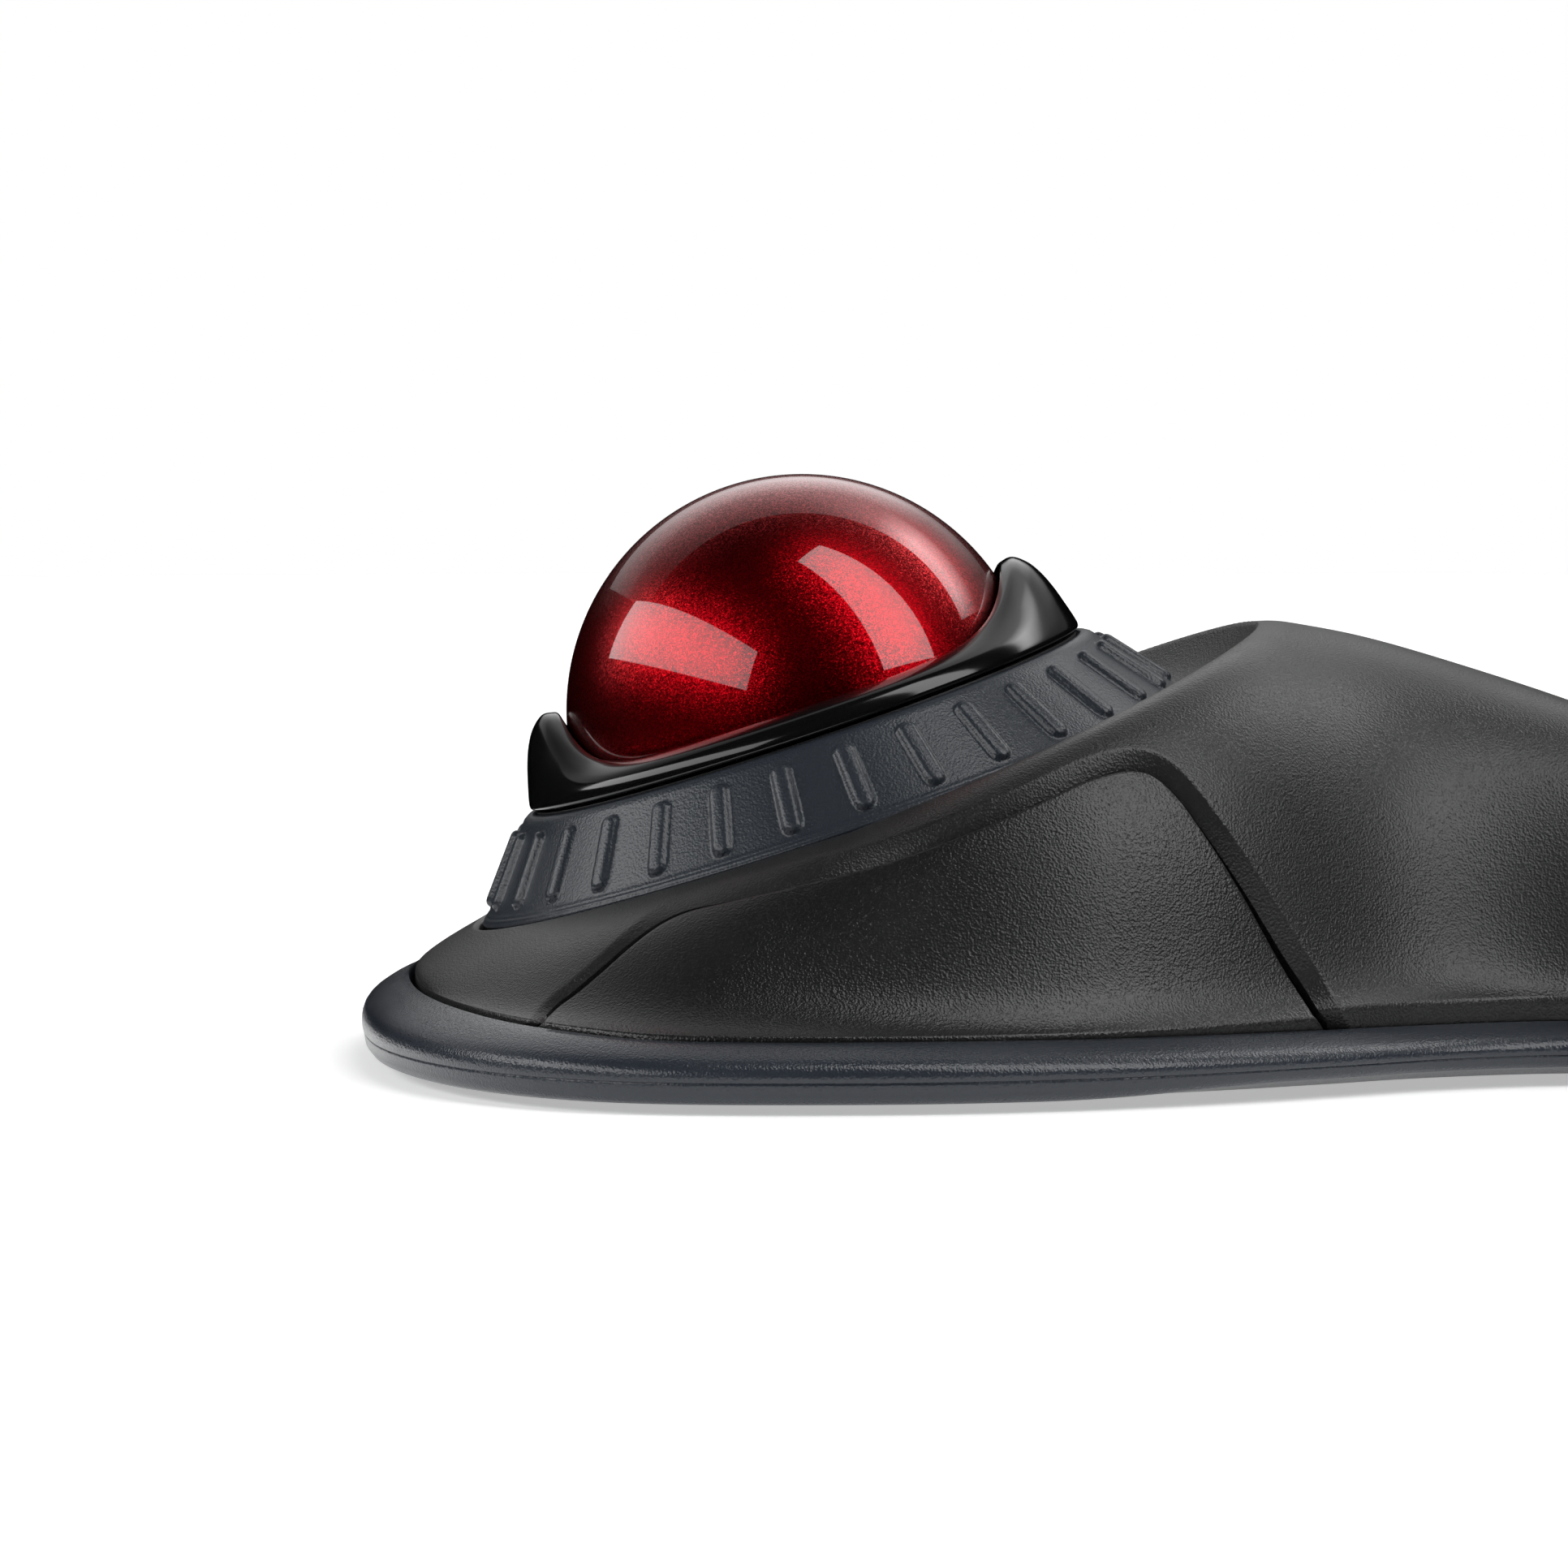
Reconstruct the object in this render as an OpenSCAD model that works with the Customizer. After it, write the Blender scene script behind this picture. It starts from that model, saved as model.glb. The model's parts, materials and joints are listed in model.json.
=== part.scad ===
// Trackball mouse: a ball in a cup, a scroll ring turning round it, one side
// button each side, a palm hump with two cells under it. Millimetres, +Z up,
// +Y to the nose, origin under the middle of the body on the resting plane.

/* [Body] */
// Overall length, nose to palm end
body_len = 145; // [143:1:148]
// Overall width across the trim
body_w = 114.8; // [112:0.4:117]
// Wall thickness of the top shell
wall = 1.8; // [1.6:0.1:2]
// How far the feet stand below the trim
foot_h = 0.8; // [0.7:0.1:1]

/* [Ball and ring] */
// Ball diameter
ball_d = 40; // [39.8:0.1:40.1]
// Number of grip ribs on the scroll ring
rib_count = 30; // [20:1:36]
// How far the grip ribs stand out
rib_h = 0.6; // [0.4:0.1:0.8]

/* [Buttons] */
// Gap round the side buttons
seam_gap = 0.55; // [0.5:0.05:0.7]

/* [Hidden] */

tau = 18.5;                  // forward tilt of the ring axis
ct = cos(tau);
st = sin(tau);
by = body_len/2 - 37.4;      // ball centre, from the middle of the body
bz = 28.8;                   // ball centre, above the trim's lower edge
ks = body_w/114.8;
ext = body_len - 145;        // extra length goes into the palm

// ---- tables along the body's edge, nose = 0 to palm end = 18 ----
OX = [0, 17.6, 31.2, 42.2, 50.3, 55.3, 57.2, 56.8, 53.4, 48.2, 42, 36, 32.6, 33.6, 37.4, 37.6, 30.5, 17, 0];
OY = [37.4, 36.5, 33.7, 29.2, 23.2, 15.7, 5, -9, -22, -33, -43, -52, -62, -73, -85, -95, -103, -106.8, -107.6];
INS = [4.1, 4.1, 4.2, 4.4, 4.7, 4.9, 5, 5, 4.8, 4.6, 4.4, 4.2, 4.1, 4.1, 4.1, 4.1, 4.1, 4.1, 4.1];
ZT = [6.3, 6.2, 5.9, 5.5, 5.2, 4.9, 4.8, 4.8, 4.7, 4.6, 4.5, 4.4, 4.4, 4.3, 4.3, 4.3, 4.3, 4.3, 4.3];
ZS = [6.5, 6.4, 6.2, 5.9, 5.6, 5.3, 5.2, 5.2, 5.4, 5.8, 6.1, 6.3, 6.3, 6.3, 6.3, 6.3, 6.3, 6.3, 6.3];
PH = [0, 28, 48, 62, 73, 83, 93, 107, 122, 138, 156, 180, 204];
RR = [32.3, 32.3, 32.3, 32.3, 32.3, 32.4, 33.4, 36, 37.8, 38.2, 38.5, 39.2, 38.5];
// top line of the palm
YM = [-30, -38.7, -47, -55, -63, -70, -76, -80, -82, -84];
ZM = [38.4, 36.6, 35.1, 32.8, 30.1, 27.3, 24.6, 22.6, 21.5, 20.4];
SL = [-0.62, -0.6, -0.5, -0.42, -0.38, -0.35, -0.33, -0.3, -0.26, -0.2, -0.12, -0.05];
A1 = [0.25, 0.25, 0.25, 0.24, 0.22, 0.22, 0.22, 0.25, 0.28, 0.3, 0.32, 0.34, 0.35, 0.35, 0.35, 0.35, 0.35, 0.33, 0.3];
A2 = [0.6, 0.6, 0.58, 0.55, 0.52, 0.52, 0.52, 0.55, 0.6, 0.65, 0.7, 0.72, 0.74, 0.74, 0.72, 0.7, 0.68, 0.65, 0.62];
B2 = [0.5, 0.52, 0.6, 0.7, 0.78, 0.8, 0.82, 0.84, 0.86, 0.86, 0.87, 0.88, 0.88, 0.86, 0.84, 0.8, 0.76, 0.72, 0.7];
A3 = [0.95, 0.9, 0.8, 0.7, 0.64, 0.62, 0.62, 0.65, 0.72, 0.78, 0.82, 0.84, 0.86, 0.86, 0.86, 0.86, 0.86, 0.86, 0.86];
B3 = [0.2, 0.22, 0.25, 0.28, 0.3, 0.3, 0.3, 0.32, 0.36, 0.4, 0.42, 0.42, 0.42, 0.42, 0.4, 0.4, 0.38, 0.36, 0.34];
A4 = [1, 0.96, 0.88, 0.84, 0.82, 0.8, 0.8, 0.8, 0.82, 0.84, 0.86, 0.86, 0.86, 0.86, 0.86, 0.86, 0.88, 0.88, 0.88];
B4 = [0.12, 0.1, 0.08, 0.06, 0.05, 0.05, 0.05, 0.05, 0.06, 0.08, 0.08, 0.08, 0.08, 0.08, 0.08, 0.08, 0.08, 0.08, 0.08];

// smooth curve through a table at whole numbers
function cr(a, b, c, d, t) = 0.5*((2*b) + (c - a)*t + (2*a - 5*b + 4*c - d)*t*t + (3*b - a - 3*c + d)*t*t*t);
function tb(T, u, sgn) = let (n = len(T) - 1, i = max(0, min(floor(u), n - 1)))
  cr(i > 0 ? T[i-1] : sgn*T[1] + (1 - sgn)*T[0], T[i], T[i+1], i + 2 <= n ? T[i+2] : sgn*T[n-1] + (1 - sgn)*T[n], u - i);
function ringpt(x, q, h) = [x, -q*ct + h*st, bz + q*st + h*ct];
function stretch(y) = y < -38 ? y + ext*(y + 38)/69.6 : y;
// plan outline at the parting line; left half, x negative
function oxy(i) = [-ks*tb(OX, i, -1), stretch(tb(OY, i, 1))];
function odir(i) = let (a = oxy(max(0, i - 0.02)), b = oxy(min(18, i + 0.02)), d = b - a, l = norm(d))
  i < 0.01 ? [0, 1] : i > 17.99 ? [0, -1] : [d[1], -d[0]]/l;   // outward normal
function onorm(i) = let (n = odir(i)) (n[0] > 0 && i > 0.1 && i < 17.9) ? -n : n;
function inset(i, d) = oxy(i) - d*onorm(i);
// upper inner line: collar ridge, then the palm's top line
function cpt(i) = i <= 11
  ? let (p = i >= 11 ? 180 : tb(PH, i, -1), r = tb(RR, i, 1), q = -r*cos(p)) ringpt(-r*sin(p), q, -8.6 + 0.0931*max(q, 0))
  : let (y = tb(YM, i - 10, 1), z = tb(ZM, i - 10, 1)) [0, stretch(y), z];
function mslope(i) = let (a = cpt(max(11.01, i - 0.2)), b = cpt(min(18, i + 0.2))) (a[2] - b[2])/(a[1] - b[1]);
function ept(i) = let (p = inset(i, tb(INS, i, 1) + 0.45)) [p[0], p[1], tb(ZS, i, 1)];
function row0(i) = i <= 11 ? tb(SL, i, 1)
  : let (c = cpt(i), e = ept(i), l = norm([e[0] - c[0], e[1] - c[1]])) mslope(i)*(e[1] - c[1])/l;
function bez(P, t) = len(P) == 1 ? P[0] : bez([for (k = [0:len(P)-2]) P[k]*(1 - t) + P[k+1]*t], t);
function skin(i, t) = let (c = cpt(i), e = ept(i), dx = e[0] - c[0], dy = e[1] - c[1], l = norm([dx, dy]),
    dz = c[2] - e[2], a1 = tb(A1, i, 1),
    w = bez([[0, c[2]], [a1*l, c[2] + row0(i)*a1*l], [tb(A2, i, 1)*l, e[2] + tb(B2, i, 1)*dz],
      [tb(A3, i, 1)*l, e[2] + tb(B3, i, 1)*dz], [tb(A4, i, 1)*l, e[2] + tb(B4, i, 1)*dz], [l, e[2]]], t))
  [c[0] + dx*w[0]/l, c[1] + dy*w[0]/l, w[1]];
function unit(v) = v/max(norm(v), 0.00001);
function snorm(i, t) = let (i0 = max(0, i - 0.1), i1 = min(18, i + 0.1), t0 = max(0, t - 0.02), t1 = min(1, t + 0.02),
    n = unit(cross(skin(i1, t) - skin(i0, t), skin(i, t1) - skin(i, t0)))) n[2] < 0 ? -n : n;
function shellpt(i, t, off) = let (p = skin(i, t), n = snorm(i, t), m = (i < 0.01 || i > 17.99 || (i >= 11 && t < 0.01)) ? [0, n[1], n[2]] : n,
    v = p - off*m) [min(v[0], 0), v[1], v[2]];
function mir(P) = [for (p = P) [-p[0], p[1], p[2]]];

NI = 36;   // rows along half the body
NC = 22;   // rows round the ring, the rest start from the palm's top line
NT = 8;    // points across a row
NW = 2;    // points across the finger relief inside the ridge
// finger relief between the ridge and the ring, f = 1 next to the ring
function relief(i, f, off) = let (p = i >= 11 ? 180 : tb(PH, i, -1), r = tb(RR, min(i, 11), 1), q = -r*cos(p), h = -8.6 + 0.0931*max(q, 0),
    w = 31.2 + (r - 31.2)*(1 - f), g = h + (-8.95 - h)*f - 0.07*(r - 32.3)*sin(180*f) - off)
  ringpt(i < 0.01 || i > 10.99 ? 0 : -w*sin(p), -w*cos(p), g);
// points of one row: relief, skin, then a straight skirt down
function rowpts(i, off, zb) = concat(
  [for (k = [0:NW-1]) i < 11.01 ? relief(i, 1 - k*0.55, off) : shellpt(i, 0, off)],
  [for (k = [0:NT]) shellpt(i, k/NT, off)],
  [let (p = inset(i, tb(INS, i, 1) + 0.45 + off)) [i < 0.01 || i > 17.99 ? 0 : p[0], p[1], zb]]);

// solid under the skin, off millimetres inside it, down to zb
module body_solid(off, zb) {
  R = [for (j = [0:NI]) rowpts(j*18/NI, off, zb)];
  m = NW + NT + 2;
  P = concat([for (r = R) each r], [for (r = R) each mir(r)]);
  h = (NI + 1)*m;
  function L(j, k) = j*m + k;
  // one shared vertex where the halves meet
  function Q(j, k) = j == 0 || j == NI || j == NC && k <= NW || j > NC && k == NW ? j*m + k : h + j*m + k;
  F = concat(
    [for (j = [0:NI-1]) for (k = [j < NC ? 0 : NW:m-2]) each (j == NI - 1 && k == NW ? [[L(j, k), L(j+1, k+1), L(j, k+1)]] : [[L(j, k), L(j+1, k+1), L(j, k+1)], [L(j, k), L(j+1, k), L(j+1, k+1)]])],
    [for (j = [0:NI-1]) for (k = [j < NC ? 0 : NW:m-2]) each (j == NI - 1 && k == NW ? [[Q(j, k), Q(j, k+1), Q(j+1, k+1)]] : [[Q(j, k), Q(j, k+1), Q(j+1, k+1)], [Q(j, k), Q(j+1, k+1), Q(j+1, k)]])],
    [for (j = [0:NC-1]) each (j == 0 ? [[L(j, 0), Q(j+1, 0), L(j+1, 0)]] : j == NC - 1 ? [[L(j, 0), Q(j, 0), L(j+1, 0)]]
      : [[L(j, 0), Q(j+1, 0), L(j+1, 0)], [L(j, 0), Q(j, 0), Q(j+1, 0)]])],
    [for (j = [0:NI-1]) each (j == 0 ? [[L(j, m-1), L(j+1, m-1), Q(j+1, m-1)]] : j == NI - 1 ? [[L(j, m-1), L(j+1, m-1), Q(j, m-1)]]
      : [[L(j, m-1), L(j+1, m-1), Q(j+1, m-1)], [L(j, m-1), Q(j+1, m-1), Q(j, m-1)]])]);
  polyhedron(P, F);
}

module place() { translate([0, by, foot_h]) children(); }
module tilt() { translate([0, 0, bz]) rotate([-tau, 0, 0]) children(); }

// the ring's hole through the shell
module ring_hole() tilt() translate([0, 0, -16]) cylinder(r = 31.8, h = 30, $fn = 64);

// side outline of a button, seen from the side: [forward, up]
BTN = [[25.6, 1.2], [24.2, 4.6], [22.1, 6.8], [20.4, 8.1], [18.2, 9.9], [16.2, 11.6], [14.2, 13.1], [12.5, 14.1], [10.5, 14.9],
  [7.4, 15.7], [1, 17.3], [-5.7, 19.1], [-12.3, 21.5], [-15.8, 22.9], [-18.8, 24.2], [-21.7, 25.4], [-24.6, 26.1], [-26.6, 26],
  [-28, 25.3], [-29.3, 24.1], [-30.6, 22.5], [-33.2, 18.8], [-35.2, 15.7], [-36.8, 13], [-38.4, 10.3], [-40, 7.8], [-41.6, 5], [-43.4, 1.2]];
module btn_zone(g) difference() {
  translate([14, 0, 0]) rotate([90, 0, 90]) linear_extrude(60) offset(delta = g) polygon(BTN);
  tilt() translate([0, 0, -18]) cylinder(r = 33.3 - g, h = 30, $fn = 64);
}

module case_bosses(sgn) {
  for (s = [-1, 1]) {
    translate([s*16.3, 27, 2.4]) difference() { cylinder(r = 2.6, h = 7, $fn = 24); translate([0, 0, -1]) cylinder(r = 1.1, h = 6, $fn = 24); }
    translate([s*27.5, stretch(-84), 2.4]) difference() { cylinder(r = 2.8, h = 14, $fn = 24); translate([0, 0, -1]) cylinder(r = 1.1, h = 8, $fn = 24); }
  }
}
module hollow(zb) difference() {
  body_solid(0, zb);
  body_solid(wall, zb - 3);
  ring_hole();
}
module top_shell() color([0.12, 0.12, 0.13]) place() resize([0, 0, 0]) union() {
  difference() {
    hollow(2.3);
    for (s = [0, 1]) mirror([s, 0, 0]) btn_zone(seam_gap/2);
  }
  intersection() { case_bosses(1); body_solid(0.6, 2.3); }
}
// where the button presses its switch, forward of the ball centre
post_y = 5.6;
module button(s) {
  place() resize([0, 0, 0]) scale([s, 1, 1]) union() {
    intersection() {
      hollow(3.3);
      btn_zone(-seam_gap/2);
    }
    // post that presses the switch, and the ear on the pivot pin
    intersection() {
      union() {
        translate([35, post_y - 1.7, 12.15]) cube([3.4, 3.4, 8]);
        difference() {
          hull() { translate([34, -36, 7]) rotate([0, 90, 0]) cylinder(r = 2.2, h = 8, $fn = 24); translate([34, -37.6, 7]) cube([8, 4, 10]); }
          translate([33, -36, 7]) rotate([0, 90, 0]) cylinder(r = 1.05, h = 3.6, $fn = 48);
        }
      }
      body_solid(0.7, 2);
      btn_zone(-seam_gap/2);
    }
  }
}
module left_button() color([0.13, 0.13, 0.14]) button(-1);
module right_button() color([0.13, 0.13, 0.14]) button(1);
module button_pins() color("silver") place() for (s = [-1, 1]) scale([s, 1, 1]) translate([30.8, -36, 7]) rotate([0, 90, 0]) {
  cylinder(r = 1, h = 5.4, $fn = 32);
}

// cross-section of the trim: [inset from the parting line, height, share of the rise]
TR = [[1.6, 0], [0.75, 0.35], [0.2, 1.1], [0.12, 1.7], [0.4, 1.82], [0.1, 1.95], [0, 2.8], [0.25, 3.6], [0.95, 4.4], [2.05, 5.25], [3.3, 6.0]];
module base_trim() {
  N = 48;
  m = len(TR) + 3;
  function sec(i) = let (zt = tb(ZT, i, 1), ins = tb(INS, i, 1), f = (zt - 1.9)/4.4)
    concat([for (p = TR) let (d = p[0] <= 3.2 ? p[0] : min(p[0], ins - 0.5), q = inset(i, d)) [q[0], q[1], p[1] <= 1.95 ? p[1] : 1.95 + (p[1] - 1.95)*f]],
      [let (q = inset(i, ins)) [q[0], q[1], zt - 0.1], let (q = inset(i, ins)) [q[0], q[1], 0.6], let (q = inset(i, ins - 0.4)) [q[0], q[1], 0]]);
  S = [for (j = [0:N]) sec(j*18/N)];
  fix = [for (j = [0:N]) [for (p = S[j]) [(j == 0 || j == N) ? 0 : p[0], p[1], p[2]]]];
  L = concat(fix, [for (j = [N-1:-1:1]) mir(fix[j])]);
  n = len(L);
  color([0.23, 0.25, 0.29]) place() polyhedron([for (r = L) each r], [for (j = [0:n-1]) for (k = [0:m-1]) let (j2 = (j + 1) % n, k2 = (k + 1) % m)
    each [[j*m + k, j*m + k2, j2*m + k2], [j*m + k, j2*m + k2, j2*m + k]]]);
}

function floor_line(d) = let (N = 36) concat([for (j = [0:N]) let (p = inset(j*18/N, tb(INS, j*18/N, 1) + d)) [j == 0 || j == N ? 0 : p[0], p[1]]],
  [for (j = [N-1:-1:1]) let (p = inset(j*18/N, tb(INS, j*18/N, 1) + d)) [-p[0], p[1]]]);
function stadium(l, r, n = 8) = concat([for (k = [0:n]) [l/2 + r*cos(-90 + 180*k/n), r*sin(-90 + 180*k/n)]], [for (k = [0:n]) [-l/2 + r*cos(90 + 180*k/n), r*sin(90 + 180*k/n)]]);
FEET = [[-37, 8, 80, 12], [37, 8, 100, 12], [0, 28.4, 0, 16], [-24.6, -93.2, 60, 6], [24.6, -93.2, 120, 6]];
SCR = [[-16.3, 27], [16.3, 27], [-27.5, -84], [27.5, -84]];
LEG = [[-26, -8, 18.3], [26, -8, 18.3], [0, 20, 9.1]];
PST = [[-38, -14], [38, -14], [-30, 18], [30, 18]];
module bottom_case() color([0.14, 0.14, 0.15]) place() difference() {
  union() {
    translate([0, 0, 0.1]) linear_extrude(2) polygon(floor_line(0.15));
    for (p = PST) translate([p[0], p[1], 1]) cylinder(r = 2.1, h = 2.8, $fn = 32);
    for (p = SCR) translate([p[0], stretch(p[1]), 0.1]) cylinder(r = 3.2, h = 2, $fn = 32);
    for (s = [-1, 1]) translate([s*32.2 - 1.2, -38.6, 1]) cube([2.4, 5.2, 8.4]);
    // pocket for the stored receiver
    translate([-19.2, stretch(-83) - 15.6, 1]) cube([39.2, 15.8, 5.9]);
  }
  for (p = PST) translate([p[0], p[1], 1.5]) cylinder(r = 0.9, h = 4, $fn = 32);
  for (p = SCR) translate([p[0], stretch(p[1]), -1]) { cylinder(r = 1.4, h = 5, $fn = 32); cylinder(r = 2.6, h = 2.1, $fn = 32); }
  for (p = LEG) translate([p[0], p[1], -1]) { cylinder(r = 1.4, h = 5, $fn = 32); cylinder(r = 2.6, h = 2.1, $fn = 32); }
  for (s = [-1, 1]) translate([s*32.2, -36, 7]) rotate([0, 90, 0]) cylinder(r = 1, h = 6, center = true, $fn = 32);
  translate([-15.8, -81.7, -1]) cube([31.6, 54, 5]);          // battery opening
  translate([-18.2, stretch(-83) - 14.8, -1]) cube([31.4, 14.2, 6.9]);       // receiver pocket
  translate([13, stretch(-83) - 13.75, 1.15]) cube([6, 12.1, 4.6]);  // receiver socket
  translate([-27.5, -2.5, -1]) cube([5, 8, 5]);                 // slider window
  translate([24, 2, -1]) cylinder(r = 3.7, h = 5, $fn = 48);  // resolution button hole
  for (f = FEET) translate([f[0], stretch(f[1]), -1]) rotate(f[2]) linear_extrude(1.4) polygon(stadium(f[3], 3.2));
}
module rubber_feet() color([0.07, 0.07, 0.07]) translate([0, by, 0]) for (f = FEET) translate([f[0], stretch(f[1]), 0]) rotate(f[2])
  linear_extrude(foot_h + 0.39) polygon(stadium(f[3], 3));

// ---- ball, cup and ring ----
module ball() color([0.55, 0.02, 0.04]) place() translate([0, 0, bz]) difference() { sphere(d = ball_d, $fn = 96); sphere(d = ball_d - 5, $fn = 96); }
module ball_core() color([0.3, 0.05, 0.05]) place() translate([0, 0, bz]) sphere(d = ball_d - 5.06, $fn = 96);
BEAR = [60, 180, 300];
module ball_cup() color([0.1, 0.1, 0.11]) place() difference() {
  union() {
    tilt() difference() {
      union() {
        intersection() { sphere(r = 22.6, $fn = 96); translate([0, 0, -30]) cylinder(r = 30, h = 26, $fn = 96); }
        translate([0, 0, -12.6]) cylinder(r = 24.1, h = 11.6, $fn = 96);
        translate([0, 0, -12.6]) cylinder(r = 30.6, h = 1.4, $fn = 96);
        for (a = BEAR) rotate([0, 0, a]) rotate([0, 142, 0]) translate([0, 0, 20.9]) cylinder(r = 2.2, h = 3.1, $fn = 32);
      }
      sphere(r = 20.8, $fn = 96);
      translate([0, 0, -4]) cylinder(r = 22.95, h = 8, $fn = 96);
      for (a = BEAR) rotate([0, 0, a]) rotate([0, 142, 0]) translate([0, 0, 21.25]) sphere(r = 1.25, $fn = 32);
      for (a = BEAR) rotate([0, 0, a]) rotate([0, 142, 0]) translate([0, 0, 19]) cylinder(r = 0.9, h = 2.2, $fn = 32);
      rotate([0, 0, 0]) translate([-2.6, -30.4, -13]) cube([5.2, 4.4, 3]);
    }
    for (p = LEG) translate([p[0], p[1], 2.15]) cylinder(r = 2.7, h = p[2] - 2.15, $fn = 32);
  }
  for (p = LEG) translate([p[0], p[1], 1]) cylinder(r = 1, h = 6.4, $fn = 32);
  tilt() sphere(r = 20.8, $fn = 96);
  look() translate([0, 0, 19]) cylinder(r = 3.4, h = 5, $fn = 48);
}
// sensor looks at the ball from behind and below
module look() translate([0, 0, bz]) rotate([132, 0, 0]) children();
module ball_bearings() color("white") place() tilt() for (a = BEAR) rotate([0, 0, a]) rotate([0, 142, 0]) translate([0, 0, 21.23]) sphere(r = 1.2, $fn = 32);
module sensor_lens() color([0.8, 0.85, 0.9, 0.5]) place() look() translate([0, 0, 20.9]) { cylinder(r = 3.2, h = 1.2, $fn = 48); translate([0, 0, 1.19]) cylinder(r = 2, h = 1.1, $fn = 48); }
module ball_sensor() color([0.1, 0.1, 0.1]) place() look() translate([0, 0, 23.3]) difference() { translate([-4.5, -3.5, 0]) cube([9, 7, 2.2]); translate([0, 0, -1]) cylinder(r = 1.2, h = 1.8, $fn = 32); }
module sensor_board() color([0.05, 0.3, 0.15]) place() look() translate([-8, -5.4, 25.52]) cube([16, 10.8, 1.2]);
module sensor_flex() color([0.7, 0.45, 0.1]) place() { translate([-4, -22.2, 5.5]) cube([8, 0.3, 5.2]); translate([-4, -24.5, 5.3]) cube([8, 2.6, 0.3]); }

// annulus round the ball: sections [r, h] for the side, the lip rises at front and back
module ball_bezel() {
  n = 60;
  function bsec(a) = let (f = cos(a) > 0, e = pow(abs(cos(a)), f ? 5 : 3.6), h = 1.45 + 5.1*e)
    [[22.85, -3.6], [22.85, -0.85], [24.5, -0.75], [24.4, 0.1], [23.9 + 0.1*e, 0.6 + 1.1*e], [23.2 + 0.1*e, 1.1 + 2.4*e], [22.4 + 0.1*e, 1.4 + 3.7*e],
     [21.4 - 0.2*e, h + 0.02], [20.55 - 0.8*e, h - 0.15], [20.28 - 0.7*e, h - 0.5], [20.36, 0.3], [20.9, -3.6]];
  S = [for (j = [0:n-1]) let (a = j*360/n) [for (p = bsec(a)) [p[0]*sin(a), p[0]*cos(a), p[1]]]];
  m = 12;
  color([0.03, 0.03, 0.03]) place() tilt() polyhedron([for (r = S) each r], [for (j = [0:n-1]) for (k = [0:m-1]) let (j2 = (j + 1) % n, k2 = (k + 1) % m)
    each [[j*m + k, j2*m + k2, j*m + k2], [j*m + k, j2*m + k, j2*m + k2]]]);
}
module scroll_ring() color([0.23, 0.25, 0.29]) place() tilt() union() {
  rotate_extrude($fn = 96) polygon([[24.16, -1.25], [24.6, -1.15], [25.3, -1.4], [25.8, -2], [28.3, -5.1], [30.9, -8.2], [31.4, -8.55], [31.4, -8.9],
    [30, -8.9], [27.3, -5.9], [26.2, -4.6], [25.7, -4.6], [25.7, -9.2], [24.16, -9.2]]);
  for (j = [0:rib_count-1]) rotate([0, 0, (j + 0.29)*360/rib_count]) translate([28.2, 0, -4.99]) rotate([0, 50, 0])
    translate([0, 0, -0.6]) linear_extrude(0.6 + rib_h) polygon(stadium(5.6, 0.85, 6));
}
module encoder_ring() color([0.85, 0.85, 0.8]) place() tilt() translate([0, 0, -10.2]) linear_extrude(1) difference() {
  circle(r = 30.2, $fn = 96);
  circle(r = 24.6, $fn = 96);
  for (j = [0:35]) rotate(j*10) translate([27.4, -0.8]) square([1.8, 1.6]);
}
module glide_ring() color("white") place() tilt() translate([0, 0, -11.19]) rotate_extrude($fn = 96) translate([24.5, 0]) square([2, 0.93]);
module ring_sensor() color([0.1, 0.1, 0.1]) place() tilt() translate([-2.2, -30.3, -13.4]) cube([4.4, 3.5, 2.6]);

// ---- electronics ----
module main_board() color([0.05, 0.3, 0.15]) place() translate([0, 0, 3.85]) linear_extrude(1.2) difference() {
  polygon([[-42, -22], [-36, -25.5], [36, -25.5], [42, -22], [43, 12], [36, 20], [22, 23], [-22, 23], [-36, 20], [-43, 12]]);
  for (p = LEG) translate([p[0], p[1]]) circle(r = 3.1, $fn = 32);
  for (p = PST) translate([p[0], p[1]]) circle(r = 1.1, $fn = 32);
}
module controller_chip() color([0.08, 0.08, 0.08]) place() { translate([18, -22, 5.06]) cube([7, 7, 0.9]); translate([-27, -21, 5.06]) cube([3.2, 1.5, 1]); translate([6, 14.5, 5.06]) cube([4, 4, 0.7]); }
module microswitch(s) place() scale([s, 1, 1]) difference() {
  translate([33.6, post_y - 9.8, 5.06]) cube([5.8, 12.8, 6.4]);
  translate([36.7, post_y, 9]) cylinder(r = 1.05, h = 4, $fn = 32);
}
module plunger(s) place() scale([s, 1, 1]) translate([36.7, post_y, 10]) cylinder(r = 1, h = 2.1, $fn = 32);
module left_switch() color([0.1, 0.1, 0.1]) microswitch(-1);
module right_switch() color([0.1, 0.1, 0.1]) microswitch(1);
module left_plunger() color("red") plunger(-1);
module right_plunger() color("red") plunger(1);
module power_switch() color("silver") place() translate([-28.5, -3.5, 2.3]) cube([7, 10, 1.5]);
module power_slider() color([0.5, 0.5, 0.5]) place() translate([-27, -2.2, 0.3]) cube([4, 4.2, 1.9]);
module dpi_switch() color([0.1, 0.1, 0.1]) place() translate([21.5, -0.5, 3.1]) cube([5, 5, 0.7]);
module dpi_button() color([0.25, 0.27, 0.3]) place() translate([24, 2, 0.3]) cylinder(r = 3.4, h = 2.1, $fn = 48);

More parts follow.
